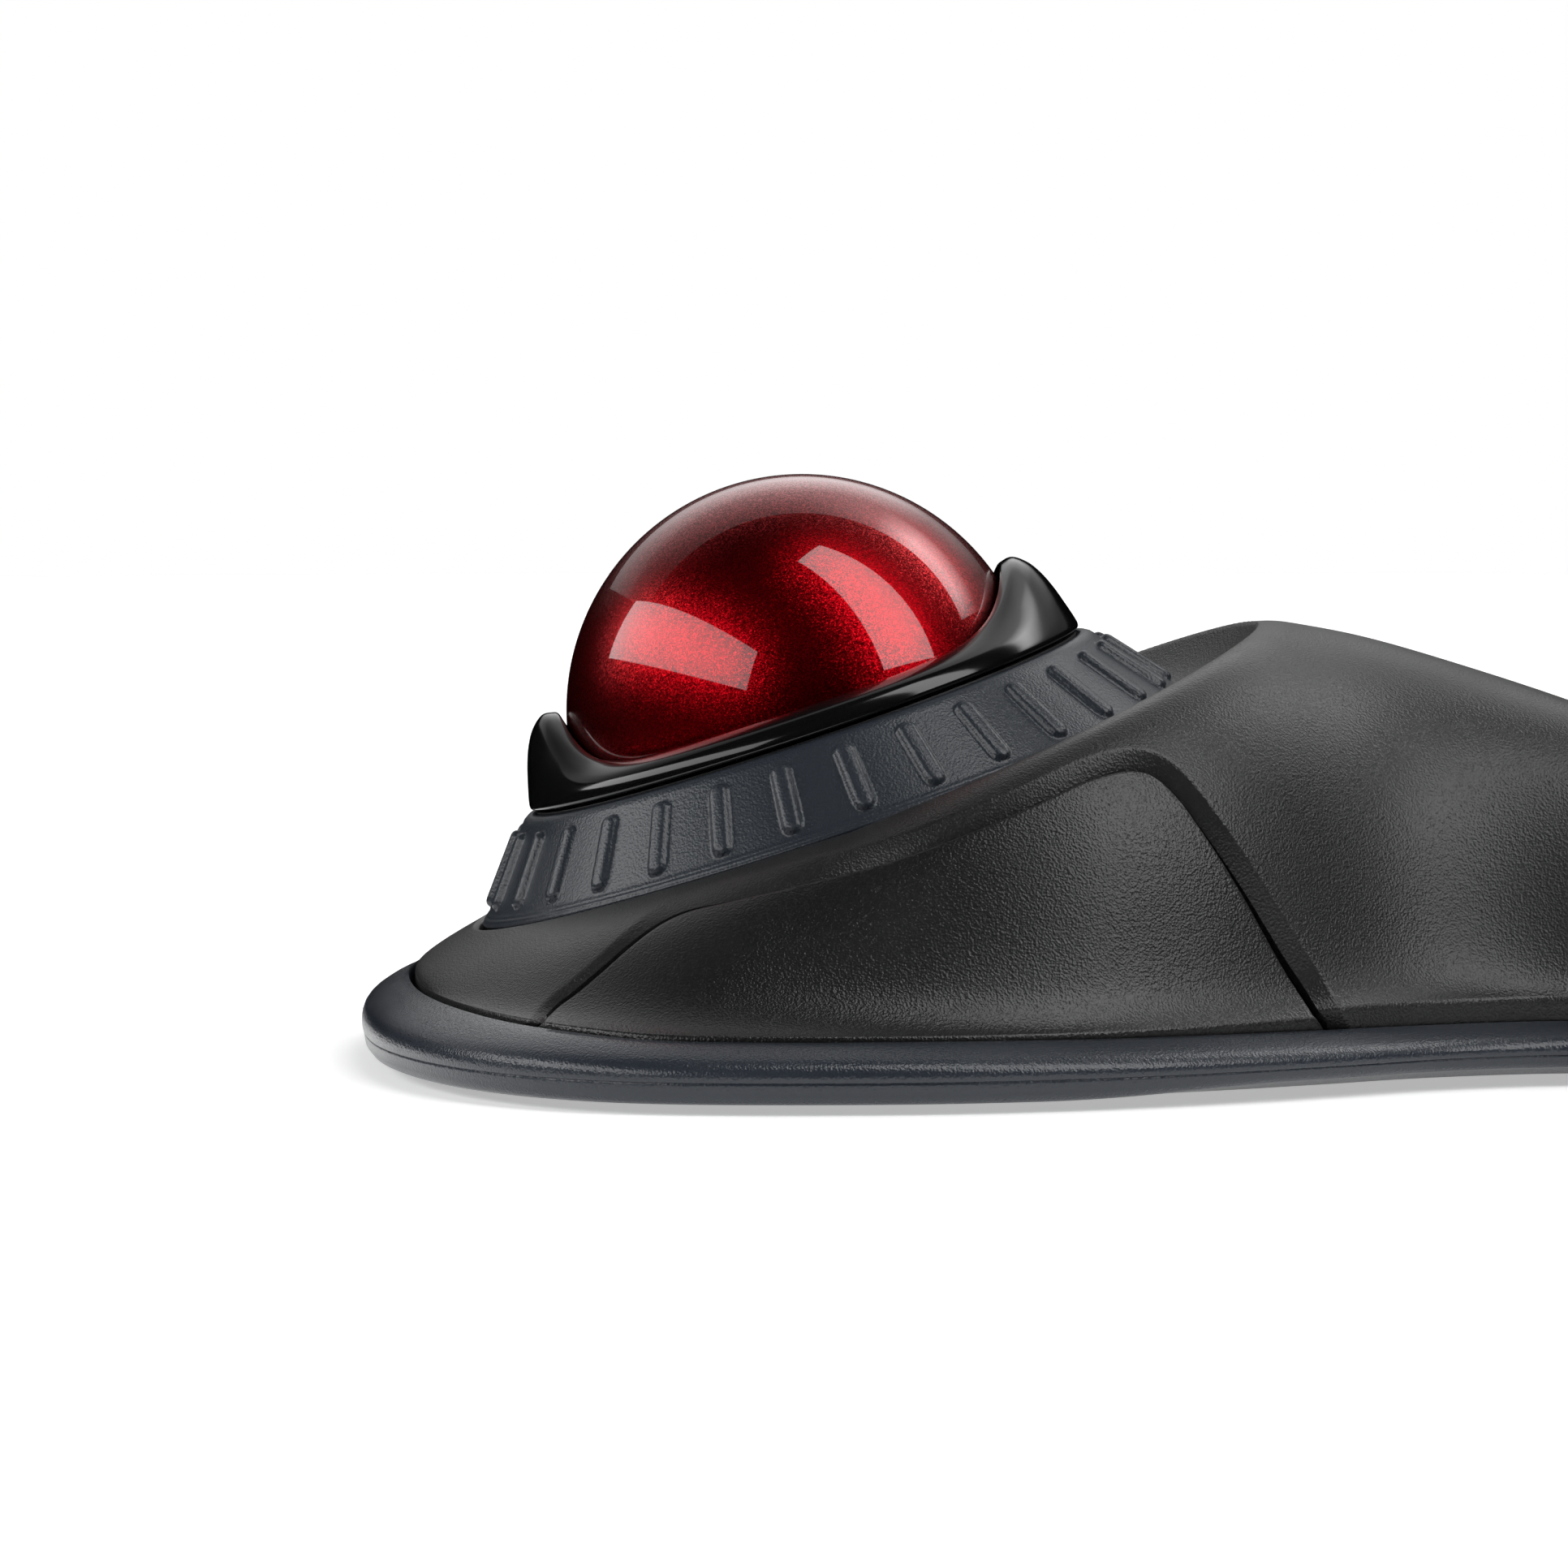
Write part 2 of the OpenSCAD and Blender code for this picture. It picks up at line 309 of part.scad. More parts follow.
// ---- power ----
module battery_bay() color([0.12, 0.12, 0.12]) place() difference() {
  translate([-17, -82.6, 2.15]) cube([34, 55.6, 17.2]);
  translate([-15.8, -81.4, 1]) cube([31.6, 53.2, 17.2]);
}
module batteries() color([0.15, 0.35, 0.55]) place() for (s = [-1, 1]) translate([s*7.6, s < 0 ? -79.7 : -29.6, 10.3]) rotate([s < 0 ? -90 : 90, 0, 0]) {
  cylinder(r = 7.1, h = 49.2, $fn = 64);
  translate([0, 0, 49.1]) cylinder(r = 2.7, h = 1.3, $fn = 32);
}
// flat ends for the cells, one common plate at each end
module contact_plates() color("silver") place() { translate([-14.5, -28.55, 4]) cube([29, 0.3, 12.5]); translate([-14.5, -81.3, 4]) cube([29, 0.3, 12.5]); }
module spring(n, r0, r1, len, w) {
  k = n*14;
  m = 6;
  P = [for (j = [0:k]) let (a = j*360/14, r = r0 + (r1 - r0)*j/k, z = len*j/k) for (b = [0:m-1]) let (c = b*360/m) [(r + w*cos(c))*cos(a), (r + w*cos(c))*sin(a), z + w*sin(c)]];
  F = concat([[for (b = [0:m-1]) b]], [[for (b = [m-1:-1:0]) k*m + b]],
    [for (j = [0:k-1]) for (b = [0:m-1]) let (b2 = (b + 1) % m) each [[j*m + b, (j+1)*m + b, (j+1)*m + b2], [j*m + b, (j+1)*m + b2, j*m + b2]]]);
  polyhedron(P, F);
}
module contact_springs() color("silver") place() {
  translate([-7.6, -80.55, 10.3]) rotate([-90, 0, 0]) spring(2, 4, 2.4, 0.45, 0.2);
  translate([7.6, -28.95, 10.3]) rotate([90, 0, 0]) spring(2, 4, 2.4, 0.3, 0.2);
}
module battery_door() color([0.14, 0.14, 0.15]) place() difference() {
  union() {
    translate([-15.4, -81.1, 0.15]) cube([30.8, 53, 1.6]);
    for (s = [-1, 1]) translate([s*7.6 - 3, -70, 1.7]) cube([6, 30, 0.9]);
  }
  translate([-6, -33.5, -0.5]) cube([12, 3, 1.3]);
}
module usb_receiver() color([0.2, 0.2, 0.2]) place() translate([0, stretch(-83) - 14.4, 0]) { translate([5.4, 0, 0.9]) cube([6.6, 13.4, 5]);
  color("silver") translate([11.9, 0.75, 1.25]) cube([6.5, 11.9, 4.4]); }

// ---- fasteners ----
module screw(l, r) { translate([0, 0, -l]) cylinder(r = r, h = l + 0.1, $fn = 24); difference() { cylinder(r = r*2.1, h = 1.1, $fn = 32); translate([-r*1.3, -0.2, 0.6]) cube([r*2.6, 0.4, 1]); translate([-0.2, -r*1.3, 0.6]) cube([0.4, r*2.6, 1]); } }
module case_screws() color("silver") place() for (p = SCR) translate([p[0], stretch(p[1]), 1.1]) rotate([180, 0, 0]) screw(5.4, 1);
module cup_screws() color("silver") place() for (p = LEG) translate([p[0], p[1], 1.1]) rotate([180, 0, 0]) screw(5.4, 0.95);
module board_screws() color("silver") place() for (p = PST) translate([p[0], p[1], 5.06]) screw(3.2, 0.85);

bottom_case();
base_trim();
top_shell();
left_button();
right_button();
button_pins();
ball();
ball_core();
ball_bezel();
ball_cup();
ball_bearings();
scroll_ring();
encoder_ring();
glide_ring();
ring_sensor();
sensor_board();
ball_sensor();
sensor_lens();
sensor_flex();
main_board();
controller_chip();
left_switch();
right_switch();
left_plunger();
right_plunger();
battery_bay();
batteries();
contact_springs();
contact_plates();
battery_door();
power_switch();
power_slider();
dpi_switch();
dpi_button();
usb_receiver();
rubber_feet();
case_screws();
board_screws();
cup_screws();
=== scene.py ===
import json
import math

import bmesh
import bpy
import numpy as np
from mathutils import Matrix, Vector


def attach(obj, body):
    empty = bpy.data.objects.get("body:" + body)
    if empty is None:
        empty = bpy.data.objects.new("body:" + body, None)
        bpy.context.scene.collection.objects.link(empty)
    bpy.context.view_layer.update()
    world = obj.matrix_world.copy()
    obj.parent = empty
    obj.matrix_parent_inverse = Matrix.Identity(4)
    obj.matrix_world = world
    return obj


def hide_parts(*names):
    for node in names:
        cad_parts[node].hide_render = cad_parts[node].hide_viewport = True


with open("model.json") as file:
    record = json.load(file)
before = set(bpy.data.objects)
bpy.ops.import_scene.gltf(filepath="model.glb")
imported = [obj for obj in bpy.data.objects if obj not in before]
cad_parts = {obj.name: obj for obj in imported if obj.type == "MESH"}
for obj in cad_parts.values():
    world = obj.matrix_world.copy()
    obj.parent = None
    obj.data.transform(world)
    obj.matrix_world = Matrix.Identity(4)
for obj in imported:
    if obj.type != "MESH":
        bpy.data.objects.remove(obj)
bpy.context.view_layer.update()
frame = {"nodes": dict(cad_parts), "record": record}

MM = 0.001
BY = 72.5 - 37.4          # ball centre, forward of the body's middle
FH = 0.8                  # trim's lower edge above the desk
BZ = 28.8                 # ball centre above the trim's lower edge
TAU = math.radians(18.5)
CT, ST = math.cos(TAU), math.sin(TAU)

# ------------------------------------------------------------ shape tables
TAB = {
    "OX": [0, 17.6, 31.2, 42.2, 50.3, 55.3, 57.2, 56.8, 53.4, 48.2, 42, 36, 32.6, 33.6, 37.4, 37.6, 30.5, 17, 0],
    "OY": [37.4, 36.5, 33.7, 29.2, 23.2, 15.7, 5, -9, -22, -33, -43, -52, -62, -73, -85, -95, -103, -106.8, -107.6],
    "INS": [4.1, 4.1, 4.2, 4.4, 4.7, 4.9, 5, 5, 4.8, 4.6, 4.4, 4.2, 4.1, 4.1, 4.1, 4.1, 4.1, 4.1, 4.1],
    "ZT": [6.3, 6.2, 5.9, 5.5, 5.2, 4.9, 4.8, 4.8, 4.7, 4.6, 4.5, 4.4, 4.4, 4.3, 4.3, 4.3, 4.3, 4.3, 4.3],
    "ZS": [6.5, 6.4, 6.2, 5.9, 5.6, 5.3, 5.2, 5.2, 5.4, 5.8, 6.1, 6.3, 6.3, 6.3, 6.3, 6.3, 6.3, 6.3, 6.3],
    "PH": [0, 28, 48, 62, 73, 83, 93, 107, 122, 138, 156, 180, 204],
    "RR": [32.3, 32.3, 32.3, 32.3, 32.3, 32.4, 33.4, 36, 37.8, 38.2, 38.5, 39.2, 38.5],
    "YM": [-30, -38.7, -47, -55, -63, -70, -76, -80, -82, -84],
    "ZM": [38.4, 36.6, 35.1, 32.8, 30.1, 27.3, 24.6, 22.6, 21.5, 20.4],
    "SL": [-0.62, -0.6, -0.5, -0.42, -0.38, -0.35, -0.33, -0.3, -0.26, -0.2, -0.12, -0.05],
    "A1": [0.25, 0.25, 0.25, 0.24, 0.22, 0.22, 0.22, 0.25, 0.28, 0.3, 0.32, 0.34, 0.35, 0.35, 0.35, 0.35, 0.35, 0.33, 0.3],
    "A2": [0.6, 0.6, 0.58, 0.55, 0.52, 0.52, 0.52, 0.55, 0.6, 0.65, 0.7, 0.72, 0.74, 0.74, 0.72, 0.7, 0.68, 0.65, 0.62],
    "B2": [0.5, 0.52, 0.6, 0.7, 0.78, 0.8, 0.82, 0.84, 0.86, 0.86, 0.87, 0.88, 0.88, 0.86, 0.84, 0.8, 0.76, 0.72, 0.7],
    "A3": [0.95, 0.9, 0.8, 0.7, 0.64, 0.62, 0.62, 0.65, 0.72, 0.78, 0.82, 0.84, 0.86, 0.86, 0.86, 0.86, 0.86, 0.86, 0.86],
    "B3": [0.2, 0.22, 0.25, 0.28, 0.3, 0.3, 0.3, 0.32, 0.36, 0.4, 0.42, 0.42, 0.42, 0.42, 0.4, 0.4, 0.38, 0.36, 0.34],
    "A4": [1, 0.96, 0.88, 0.84, 0.82, 0.8, 0.8, 0.8, 0.82, 0.84, 0.86, 0.86, 0.86, 0.86, 0.86, 0.86, 0.88, 0.88, 0.88],
    "B4": [0.12, 0.1, 0.08, 0.06, 0.05, 0.05, 0.05, 0.05, 0.06, 0.08, 0.08, 0.08, 0.08, 0.08, 0.08, 0.08, 0.08, 0.08, 0.08],
}
BTN = [[25.6, 1.2], [24.2, 4.6], [22.1, 6.8], [20.4, 8.1], [18.2, 9.9], [16.2, 11.6], [14.2, 13.1], [12.5, 14.1], [10.5, 14.9],
       [7.4, 15.7], [1, 17.3], [-5.7, 19.1], [-12.3, 21.5], [-15.8, 22.9], [-18.8, 24.2], [-21.7, 25.4], [-24.6, 26.1], [-26.6, 26],
       [-28, 25.3], [-29.3, 24.1], [-30.6, 22.5], [-33.2, 18.8], [-35.2, 15.7], [-36.8, 13], [-38.4, 10.3], [-40, 7.8], [-41.6, 5], [-43.4, 1.2]]


def cr(a, b, c, d, t):
    return 0.5 * ((2 * b) + (c - a) * t + (2 * a - 5 * b + 4 * c - d) * t * t + (3 * b - a - 3 * c + d) * t ** 3)


def tb(name, u, s=1.0):
    A = np.asarray(TAB[name], float)
    n = len(A) - 1
    ext = np.concatenate([[s * A[1] + (1 - s) * A[0]], A, [s * A[n - 1] + (1 - s) * A[n]]])
    u = np.asarray(u, float)
    i = np.clip(np.floor(u).astype(int), 0, n - 1)
    return cr(ext[i], ext[i + 1], ext[i + 2], ext[i + 3], u - i)


def outline(i):
    return np.stack([-tb("OX", i, -1), tb("OY", i, 1)], -1)


def outnorm(i):
    i = np.asarray(i, float)
    a, b = outline(np.maximum(i - 0.02, 0)), outline(np.minimum(i + 0.02, 18))
    d = b - a
    d /= np.maximum(np.linalg.norm(d, axis=-1, keepdims=True), 1e-9)
    n = np.stack([d[..., 1], -d[..., 0]], -1)
    flip = (n[..., 0] > 0) & (i > 0.1) & (i < 17.9)
    n[flip] *= -1
    n[i < 0.01] = (0, 1)
    n[i > 17.99] = (0, -1)
    return n


def inset(i, d):
    return outline(i) - np.asarray(d)[..., None] * outnorm(i)


def ringpt(x, q, h):
    return np.stack([x, -q * CT + h * ST, BZ + q * ST + h * CT], -1)


def ridge_frame(i):
    """Angle from the front, radius and height of the collar ridge, i <= 11."""
    p = np.radians(np.where(i >= 11, 180.0, tb("PH", np.minimum(i, 11), -1)))
    r = tb("RR", np.minimum(i, 11), 1)
    q = -r * np.cos(p)
    return p, r, -8.6 + 0.0931 * np.maximum(q, 0)


def cpt(i):
    i = np.asarray(i, float)
    p, r, h = ridge_frame(i)
    a = ringpt(-r * np.sin(p), -r * np.cos(p), h)
    j = np.maximum(i - 10, 1)
    b = np.stack([0 * i, tb("YM", j, 1), tb("ZM", j, 1)], -1)
    return np.where((i <= 11)[..., None], a, b)


def ept(i):
    p = inset(i, tb("INS", i, 1) + 0.45)
    return np.concatenate([p, tb("ZS", i, 1)[..., None]], -1)


def slope0(i):
    i = np.asarray(i, float)
    a, b = cpt(np.clip(i - 0.2, 11.01, 18)), cpt(np.clip(i + 0.2, 11.3, 18))
    m = (a[..., 2] - b[..., 2]) / (a[..., 1] - b[..., 1])
    c, e = cpt(i), ept(i)
    l = np.hypot(e[..., 0] - c[..., 0], e[..., 1] - c[..., 1])
    return np.where(i <= 11, tb("SL", np.minimum(i, 11), 1), m * (e[..., 1] - c[..., 1]) / l)


def skin(i, t):
    """Outer skin. i along the edge (0 nose .. 18 palm end), t across (0 ridge .. 1 lower edge)."""
    i, t = np.broadcast_arrays(np.asarray(i, float), np.asarray(t, float))
    c, e = cpt(i), ept(i)
    dx, dy = e[..., 0] - c[..., 0], e[..., 1] - c[..., 1]
    l = np.hypot(dx, dy)
    dz = c[..., 2] - e[..., 2]
    a1 = tb("A1", i)
    U = [0 * l, a1 * l, tb("A2", i) * l, tb("A3", i) * l, tb("A4", i) * l, l]
    Z = [c[..., 2], c[..., 2] + slope0(i) * a1 * l] + [e[..., 2] + tb(k, i) * dz for k in ("B2", "B3", "B4")] + [e[..., 2]]
    while len(U) > 1:
        U = [U[k] * (1 - t) + U[k + 1] * t for k in range(len(U) - 1)]
        Z = [Z[k] * (1 - t) + Z[k + 1] * t for k in range(len(Z) - 1)]
    u, z = U[0], Z[0]
    return np.stack([c[..., 0] + dx * u / l, c[..., 1] + dy * u / l, z], -1)


def smooth(a, b, x):
    t = np.clip((x - a) / (b - a), 0, 1)
    return t * t * (3 - 2 * t)


# ------------------------------------------------------------ mesh helpers
def place(P):
    return (np.asarray(P, float) + np.array([0, BY, FH])) * MM


def make(name, verts, faces, mat, body, weld=0.0, smooth_shade=True):
    me = bpy.data.meshes.new(name)
    me.from_pydata([tuple(v) for v in verts], [], [tuple(int(k) for k in f) for f in faces])
    ob = bpy.data.objects.new(name, me)
    bpy.context.scene.collection.objects.link(ob)
    bm = bmesh.new()
    bm.from_mesh(me)
    if weld:
        bmesh.ops.remove_doubles(bm, verts=bm.verts, dist=weld)
    bmesh.ops.dissolve_degenerate(bm, dist=1e-8, edges=bm.edges)
    loose = [v for v in bm.verts if not v.link_faces]
    bmesh.ops.delete(bm, geom=loose, context="VERTS")
    rim = [e for e in bm.edges if len(e.link_faces) == 1]
    if rim:
        bmesh.ops.holes_fill(bm, edges=rim, sides=24)
    bmesh.ops.recalc_face_normals(bm, faces=bm.faces)
    bm.to_mesh(me)
    bm.free()
    me.polygons.foreach_set("use_smooth", [smooth_shade] * len(me.polygons))
    me.materials.append(mat)
    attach(ob, body)
    return ob


def sharpen(ob, deg):
    me = ob.data
    if hasattr(me, "set_sharp_from_angle"):
        me.set_sharp_from_angle(angle=math.radians(deg))


def grid_faces(n, m, close_n=False, close_m=False, base=0):
    F = []
    for j in range(n if close_n else n - 1):
        j2 = (j + 1) % n
        for k in range(m if close_m else m - 1):
            k2 = (k + 1) % m
            F.append((base + j * m + k, base + j * m + k2, base + j2 * m + k2, base + j2 * m + k))
    return F


# ------------------------------------------------------------ materials
def nodes_of(mat):
    mat.use_nodes = True
    nt = mat.node_tree
    return nt, nt.nodes, nt.links, nt.nodes["Principled BSDF"]


def plastic(name, color, rough, grain=0.0, grain_scale=9000.0, bump=0.02, coat=0.0, spec=0.5, vary=0.15, grain2=None, coat_rough=0.05, metallic=0.0, wear=0.0):
    mat = bpy.data.materials.new(name)
    nt, N, L, bsdf = nodes_of(mat)
    bsdf.inputs["Metallic"].default_value = metallic
    bsdf.inputs["Specular IOR Level"].default_value = spec
    bsdf.inputs["Coat Weight"].default_value = coat
    bsdf.inputs["Coat Roughness"].default_value = coat_rough
    tc = N.new("ShaderNodeTexCoord")
    big = N.new("ShaderNodeTexNoise")
    big.inputs["Scale"].default_value = 60
    big.inputs["Detail"].default_value = 5
    L.new(tc.outputs["Object"], big.inputs["Vector"])
    ramp = N.new("ShaderNodeMix")
    ramp.data_type = "RGBA"
    lo = [c * (1 - vary) for c in color]
    hi = [c * (1 + vary) for c in color]
    ramp.inputs["A"].default_value = (*lo, 1)
    ramp.inputs["B"].default_value = (*hi, 1)
    L.new(big.outputs["Fac"], ramp.inputs["Factor"])
    L.new(ramp.outputs["Result"], bsdf.inputs["Base Color"])
    rr = N.new("ShaderNodeMapRange")
    rr.inputs["From Min"].default_value = 0.3
    rr.inputs["From Max"].default_value = 0.7
    rr.inputs["To Min"].default_value = max(0.02, rough - 0.04)
    rr.inputs["To Max"].default_value = rough + 0.04
    L.new(big.outputs["Fac"], rr.inputs["Value"])
    L.new(rr.outputs["Result"], bsdf.inputs["Roughness"])
    if grain > 0:
        vo = N.new("ShaderNodeTexVoronoi")
        vo.feature = "SMOOTH_F1"
        vo.inputs["Scale"].default_value = grain_scale
        vo.inputs["Smoothness"].default_value = 0.35
        L.new(tc.outputs["Object"], vo.inputs["Vector"])
        no = N.new("ShaderNodeTexNoise")
        no.inputs["Scale"].default_value = grain_scale * 0.75
        no.inputs["Detail"].default_value = 2
        no.inputs["Distortion"].default_value = 0.0
        L.new(tc.outputs["Object"], no.inputs["Vector"])
        ad = N.new("ShaderNodeMath")
        ad.operation = "MULTIPLY_ADD"
        ad.inputs[1].default_value = 1.6
        L.new(no.outputs["Fac"], ad.inputs[0])
        L.new(vo.outputs["Distance"], ad.inputs[2])
        bp = N.new("ShaderNodeBump")
        bp.inputs["Strength"].default_value = grain
        bp.inputs["Distance"].default_value = bump * MM
        L.new(ad.outputs[0], bp.inputs["Height"])
        L.new(bp.outputs["Normal"], bsdf.inputs["Normal"])
    return mat


def flake_ball():
    mat = bpy.data.materials.new("ball_flake_red")
    nt, N, L, bsdf = nodes_of(mat)
    tc = N.new("ShaderNodeTexCoord")
    vo = N.new("ShaderNodeTexVoronoi")
    vo.inputs["Scale"].default_value = 11500
    L.new(tc.outputs["Object"], vo.inputs["Vector"])
    sep = N.new("ShaderNodeSeparateColor")
    L.new(vo.outputs["Color"], sep.inputs["Color"])
    mr = N.new("ShaderNodeMapRange")
    mr.inputs["From Min"].default_value = 0.35
    mr.inputs["From Max"].default_value = 1.0
    mr.inputs["To Min"].default_value = 0.0
    mr.inputs["To Max"].default_value = 1.0
    L.new(sep.outputs[0], mr.inputs["Value"])
    mix = N.new("ShaderNodeMix")
    mix.data_type = "RGBA"
    mix.inputs["A"].default_value = (0.2, 0.0008, 0.003, 1)
    mix.inputs["B"].default_value = (0.50, 0.003, 0.008, 1)
    L.new(mr.outputs["Result"], mix.inputs["Factor"])
    L.new(mix.outputs["Result"], bsdf.inputs["Base Color"])
    # each flake lies at its own small tilt
    nm = N.new("ShaderNodeNormalMap")
    geo = N.new("ShaderNodeNewGeometry")
    sub = N.new("ShaderNodeVectorMath")
    sub.operation = "SUBTRACT"
    sub.inputs[1].default_value = (0.5, 0.5, 0.5)
    L.new(vo.outputs["Color"], sub.inputs[0])
    sc = N.new("ShaderNodeVectorMath")
    sc.operation = "SCALE"
    sc.inputs["Scale"].default_value = 0.2
    L.new(sub.outputs[0], sc.inputs[0])
    add = N.new("ShaderNodeVectorMath")
    add.operation = "ADD"
    L.new(geo.outputs["Normal"], add.inputs[0])
    L.new(sc.outputs[0], add.inputs[1])
    nrm = N.new("ShaderNodeVectorMath")
    nrm.operation = "NORMALIZE"
    L.new(add.outputs[0], nrm.inputs[0])
    L.new(nrm.outputs[0], bsdf.inputs["Normal"])
    N.remove(nm)
    bsdf.inputs["Metallic"].default_value = 1.0
    bsdf.inputs["Roughness"].default_value = 0.3
    bsdf.inputs["Coat Weight"].default_value = 1.0
    bsdf.inputs["Coat Roughness"].default_value = 0.03
    bsdf.inputs["Coat IOR"].default_value = 1.5
    return mat


M = {}
M["shell"] = plastic("shell_grain_black", (0.0115, 0.0115, 0.0117), 0.35, grain=1.0, grain_scale=5000, bump=0.03, spec=0.5)
M["button"] = plastic("button_grain_black", (0.0085, 0.0085, 0.0087), 0.31, grain=1.0, grain_scale=5000, bump=0.03, spec=0.5)
M["trim"] = plastic("trim_slate", (0.024, 0.029, 0.038), 0.25, grain=1.0, grain_scale=4800, bump=0.024, spec=0.5)
M["ring"] = plastic("ring_slate", (0.020, 0.025, 0.033), 0.34, grain=1.0, grain_scale=4800, bump=0.02, spec=0.5)
M["bezel"] = plastic("bezel_piano_black", (0.004, 0.004, 0.0042), 0.12, grain=0.15, grain_scale=700, bump=0.01, spec=0.5)
M["ball"] = flake_ball()
SLOTS = {
    "case_black": plastic("case_black", (0.03, 0.03, 0.033), 0.55, grain=0.5, grain_scale=2400, bump=0.05),
    "steel": plastic("steel", (0.55, 0.55, 0.57), 0.28, grain=0.2, grain_scale=4000, bump=0.02, metallic=1.0),
    "ball_core": plastic("ball_core_resin", (0.12, 0.01, 0.015), 0.3, grain=0.1, grain_scale=900, bump=0.02),
    "cup_black": plastic("cup_black", (0.02, 0.02, 0.022), 0.4, grain=0.3, grain_scale=2400, bump=0.04),
    "ceramic": plastic("ceramic", (0.8, 0.79, 0.75), 0.12, grain=0.05, grain_scale=900, bump=0.01, coat=0.5),
    "code_film": plastic("code_film", (0.7, 0.7, 0.66), 0.4, grain=0.1, grain_scale=2000, bump=0.02),
    "ptfe": plastic("ptfe", (0.8, 0.8, 0.8), 0.45, grain=0.1, grain_scale=2000, bump=0.02),
    "chip": plastic("chip_epoxy", (0.015, 0.015, 0.016), 0.5, grain=0.4, grain_scale=4000, bump=0.03),
    "pcb": plastic("pcb_mask", (0.01, 0.09, 0.04), 0.35, grain=0.3, grain_scale=1200, bump=0.03, coat=0.3),
    "flex": plastic("flex_polyimide", (0.45, 0.2, 0.03), 0.3, grain=0.2, grain_scale=1500, bump=0.02),
    "switch_black": plastic("switch_black", (0.02, 0.02, 0.02), 0.45, grain=0.3, grain_scale=2500, bump=0.03),
    "plunger_red": plastic("plunger_red", (0.5, 0.03, 0.02), 0.35, grain=0.2, grain_scale=2500, bump=0.02),
    "cell_sleeve": plastic("cell_sleeve", (0.03, 0.07, 0.14), 0.25, grain=0.05, grain_scale=900, bump=0.02, coat=0.6),
    "knob_grey": plastic("knob_grey", (0.1, 0.11, 0.13), 0.4, grain=0.4, grain_scale=3000, bump=0.03),
    "foot_rubber": plastic("foot_rubber", (0.012, 0.012, 0.012), 0.75, grain=0.6, grain_scale=1800, bump=0.05),
    "lens": plastic("lens_clear", (0.8, 0.85, 0.9), 0.06, grain=0.02, grain_scale=800, bump=0.01),
    "trim_slate": M["trim"],
    "shell_black": M["shell"],
    "button_black": M["button"],
    "bezel_gloss": M["bezel"],
    "ball_red": M["ball"],
}
slot_of = {s["node"]: s["material_slot"] for s in frame["record"]["subparts"]}
for node, ob in frame["nodes"].items():
    m = SLOTS[slot_of[node]]
    if len(ob.material_slots) == 0:
        ob.data.materials.append(m)
    for s in ob.material_slots:
        s.material = m

# ------------------------------------------------------------ shell and buttons
ROWS = 24                 # rows to each step of i
NT_ = 60
i_ax = np.linspace(0, 18, 18 * ROWS + 1)
t_ax = np.linspace(0, 1, NT_ + 1)
II, TT = np.meshgrid(i_ax, t_ax, indexing="ij")
S = skin(II, TT)
zs_shell = TAB["ZS"]
TAB["ZS"] = zs_shell[:7] + [5.15, 5.15, 5.3, 5.55, 5.9] + zs_shell[12:]
LOWER = skin(II, TT) - S          # how far the button's face lies under the shell's line
TAB["ZS"] = zs_shell
# soften the change between the collar rows and the palm rows
w_t = np.sin(np.pi * np.clip(TT, 0, 1)) ** 0.7
w_i = smooth(9.3, 10.6, II) * (1 - smooth(12.4, 14.2, II))
for _ in range(260):
    A = S.copy()
    A[1:-1] = 0.5 * S[1:-1] + 0.25 * (S[:-2] + S[2:])
    S = S + (A - S) * (w_t * w_i)[..., None]
S[0, :, 0] = 0
S[-1, :, 0] = 0
S[i_ax >= 11, 0, 0] = 0

# finger relief: from the ridge down to the ring's hole, rows up to 11
ic = i_ax[i_ax <= 11 + 1e-9]
p, r, h = ridge_frame(ic)
WN = 14
cols = []
for k in range(WN + 1):
    s = k / WN
    rr = r + (31.95 - r) * s
    big = np.clip((r - 32.5) / 6.0, 0, 1)
    hh = h + (-8.85 - h) * s - 0.55 * big * np.sin(np.pi * s)
    cols.append(ringpt(-rr * np.sin(p), -rr * np.cos(p), hh))
for rr, hh in ((31.86, -8.95), (31.8, -9.15), (31.8, -9.8), (31.8, -10.8)):
    cols.append(ringpt(-rr * np.sin(p), -rr * np.cos(p), hh + 0 * p))
WALL = np.stack(cols, 1)[:, 1:]
WALL[0, :, 0] = 0
WALL[-1, :, 0] = 0


def grid_normals(G):
    gi = np.gradient(G, axis=0)
    gt = np.gradient(G, axis=1)
    n = np.cross(gi, gt)
    l = np.linalg.norm(n, axis=-1, keepdims=True)
    n = n / np.maximum(l, 1e-12)
    return n


# rounding of the ridge, from the plan distance to it
ridge_i = np.linspace(0, 11, 400)
RP = cpt(ridge_i)
rk = np.clip((tb("RR", ridge_i) - 32.3) / 6.9, 0, 1)
r_rho = 0.25 + 2.6 * rk          # reach of the rounding
r_k = 0.06 + 0.36 * rk           # how far it takes the edge down


def ridge_drop(G):
    flat = G.reshape(-1, 3)
    out = np.zeros(len(flat))
    for a in range(0, len(flat), 20000):
        d2 = ((flat[a:a + 20000, None, :2] - RP[None, :, :2]) ** 2).sum(-1)
        j = d2.argmin(1)
        e = np.sqrt(d2[np.arange(len(j)), j])
        q = np.clip(1 - e / r_rho[j], 0, 1)
        out[a:a + 20000] = r_k[j] * q * q
    return out.reshape(G.shape[:-1])


S[..., 2] -= ridge_drop(S)
WALL[:, :WN, 2] -= ridge_drop(WALL[:, :WN])

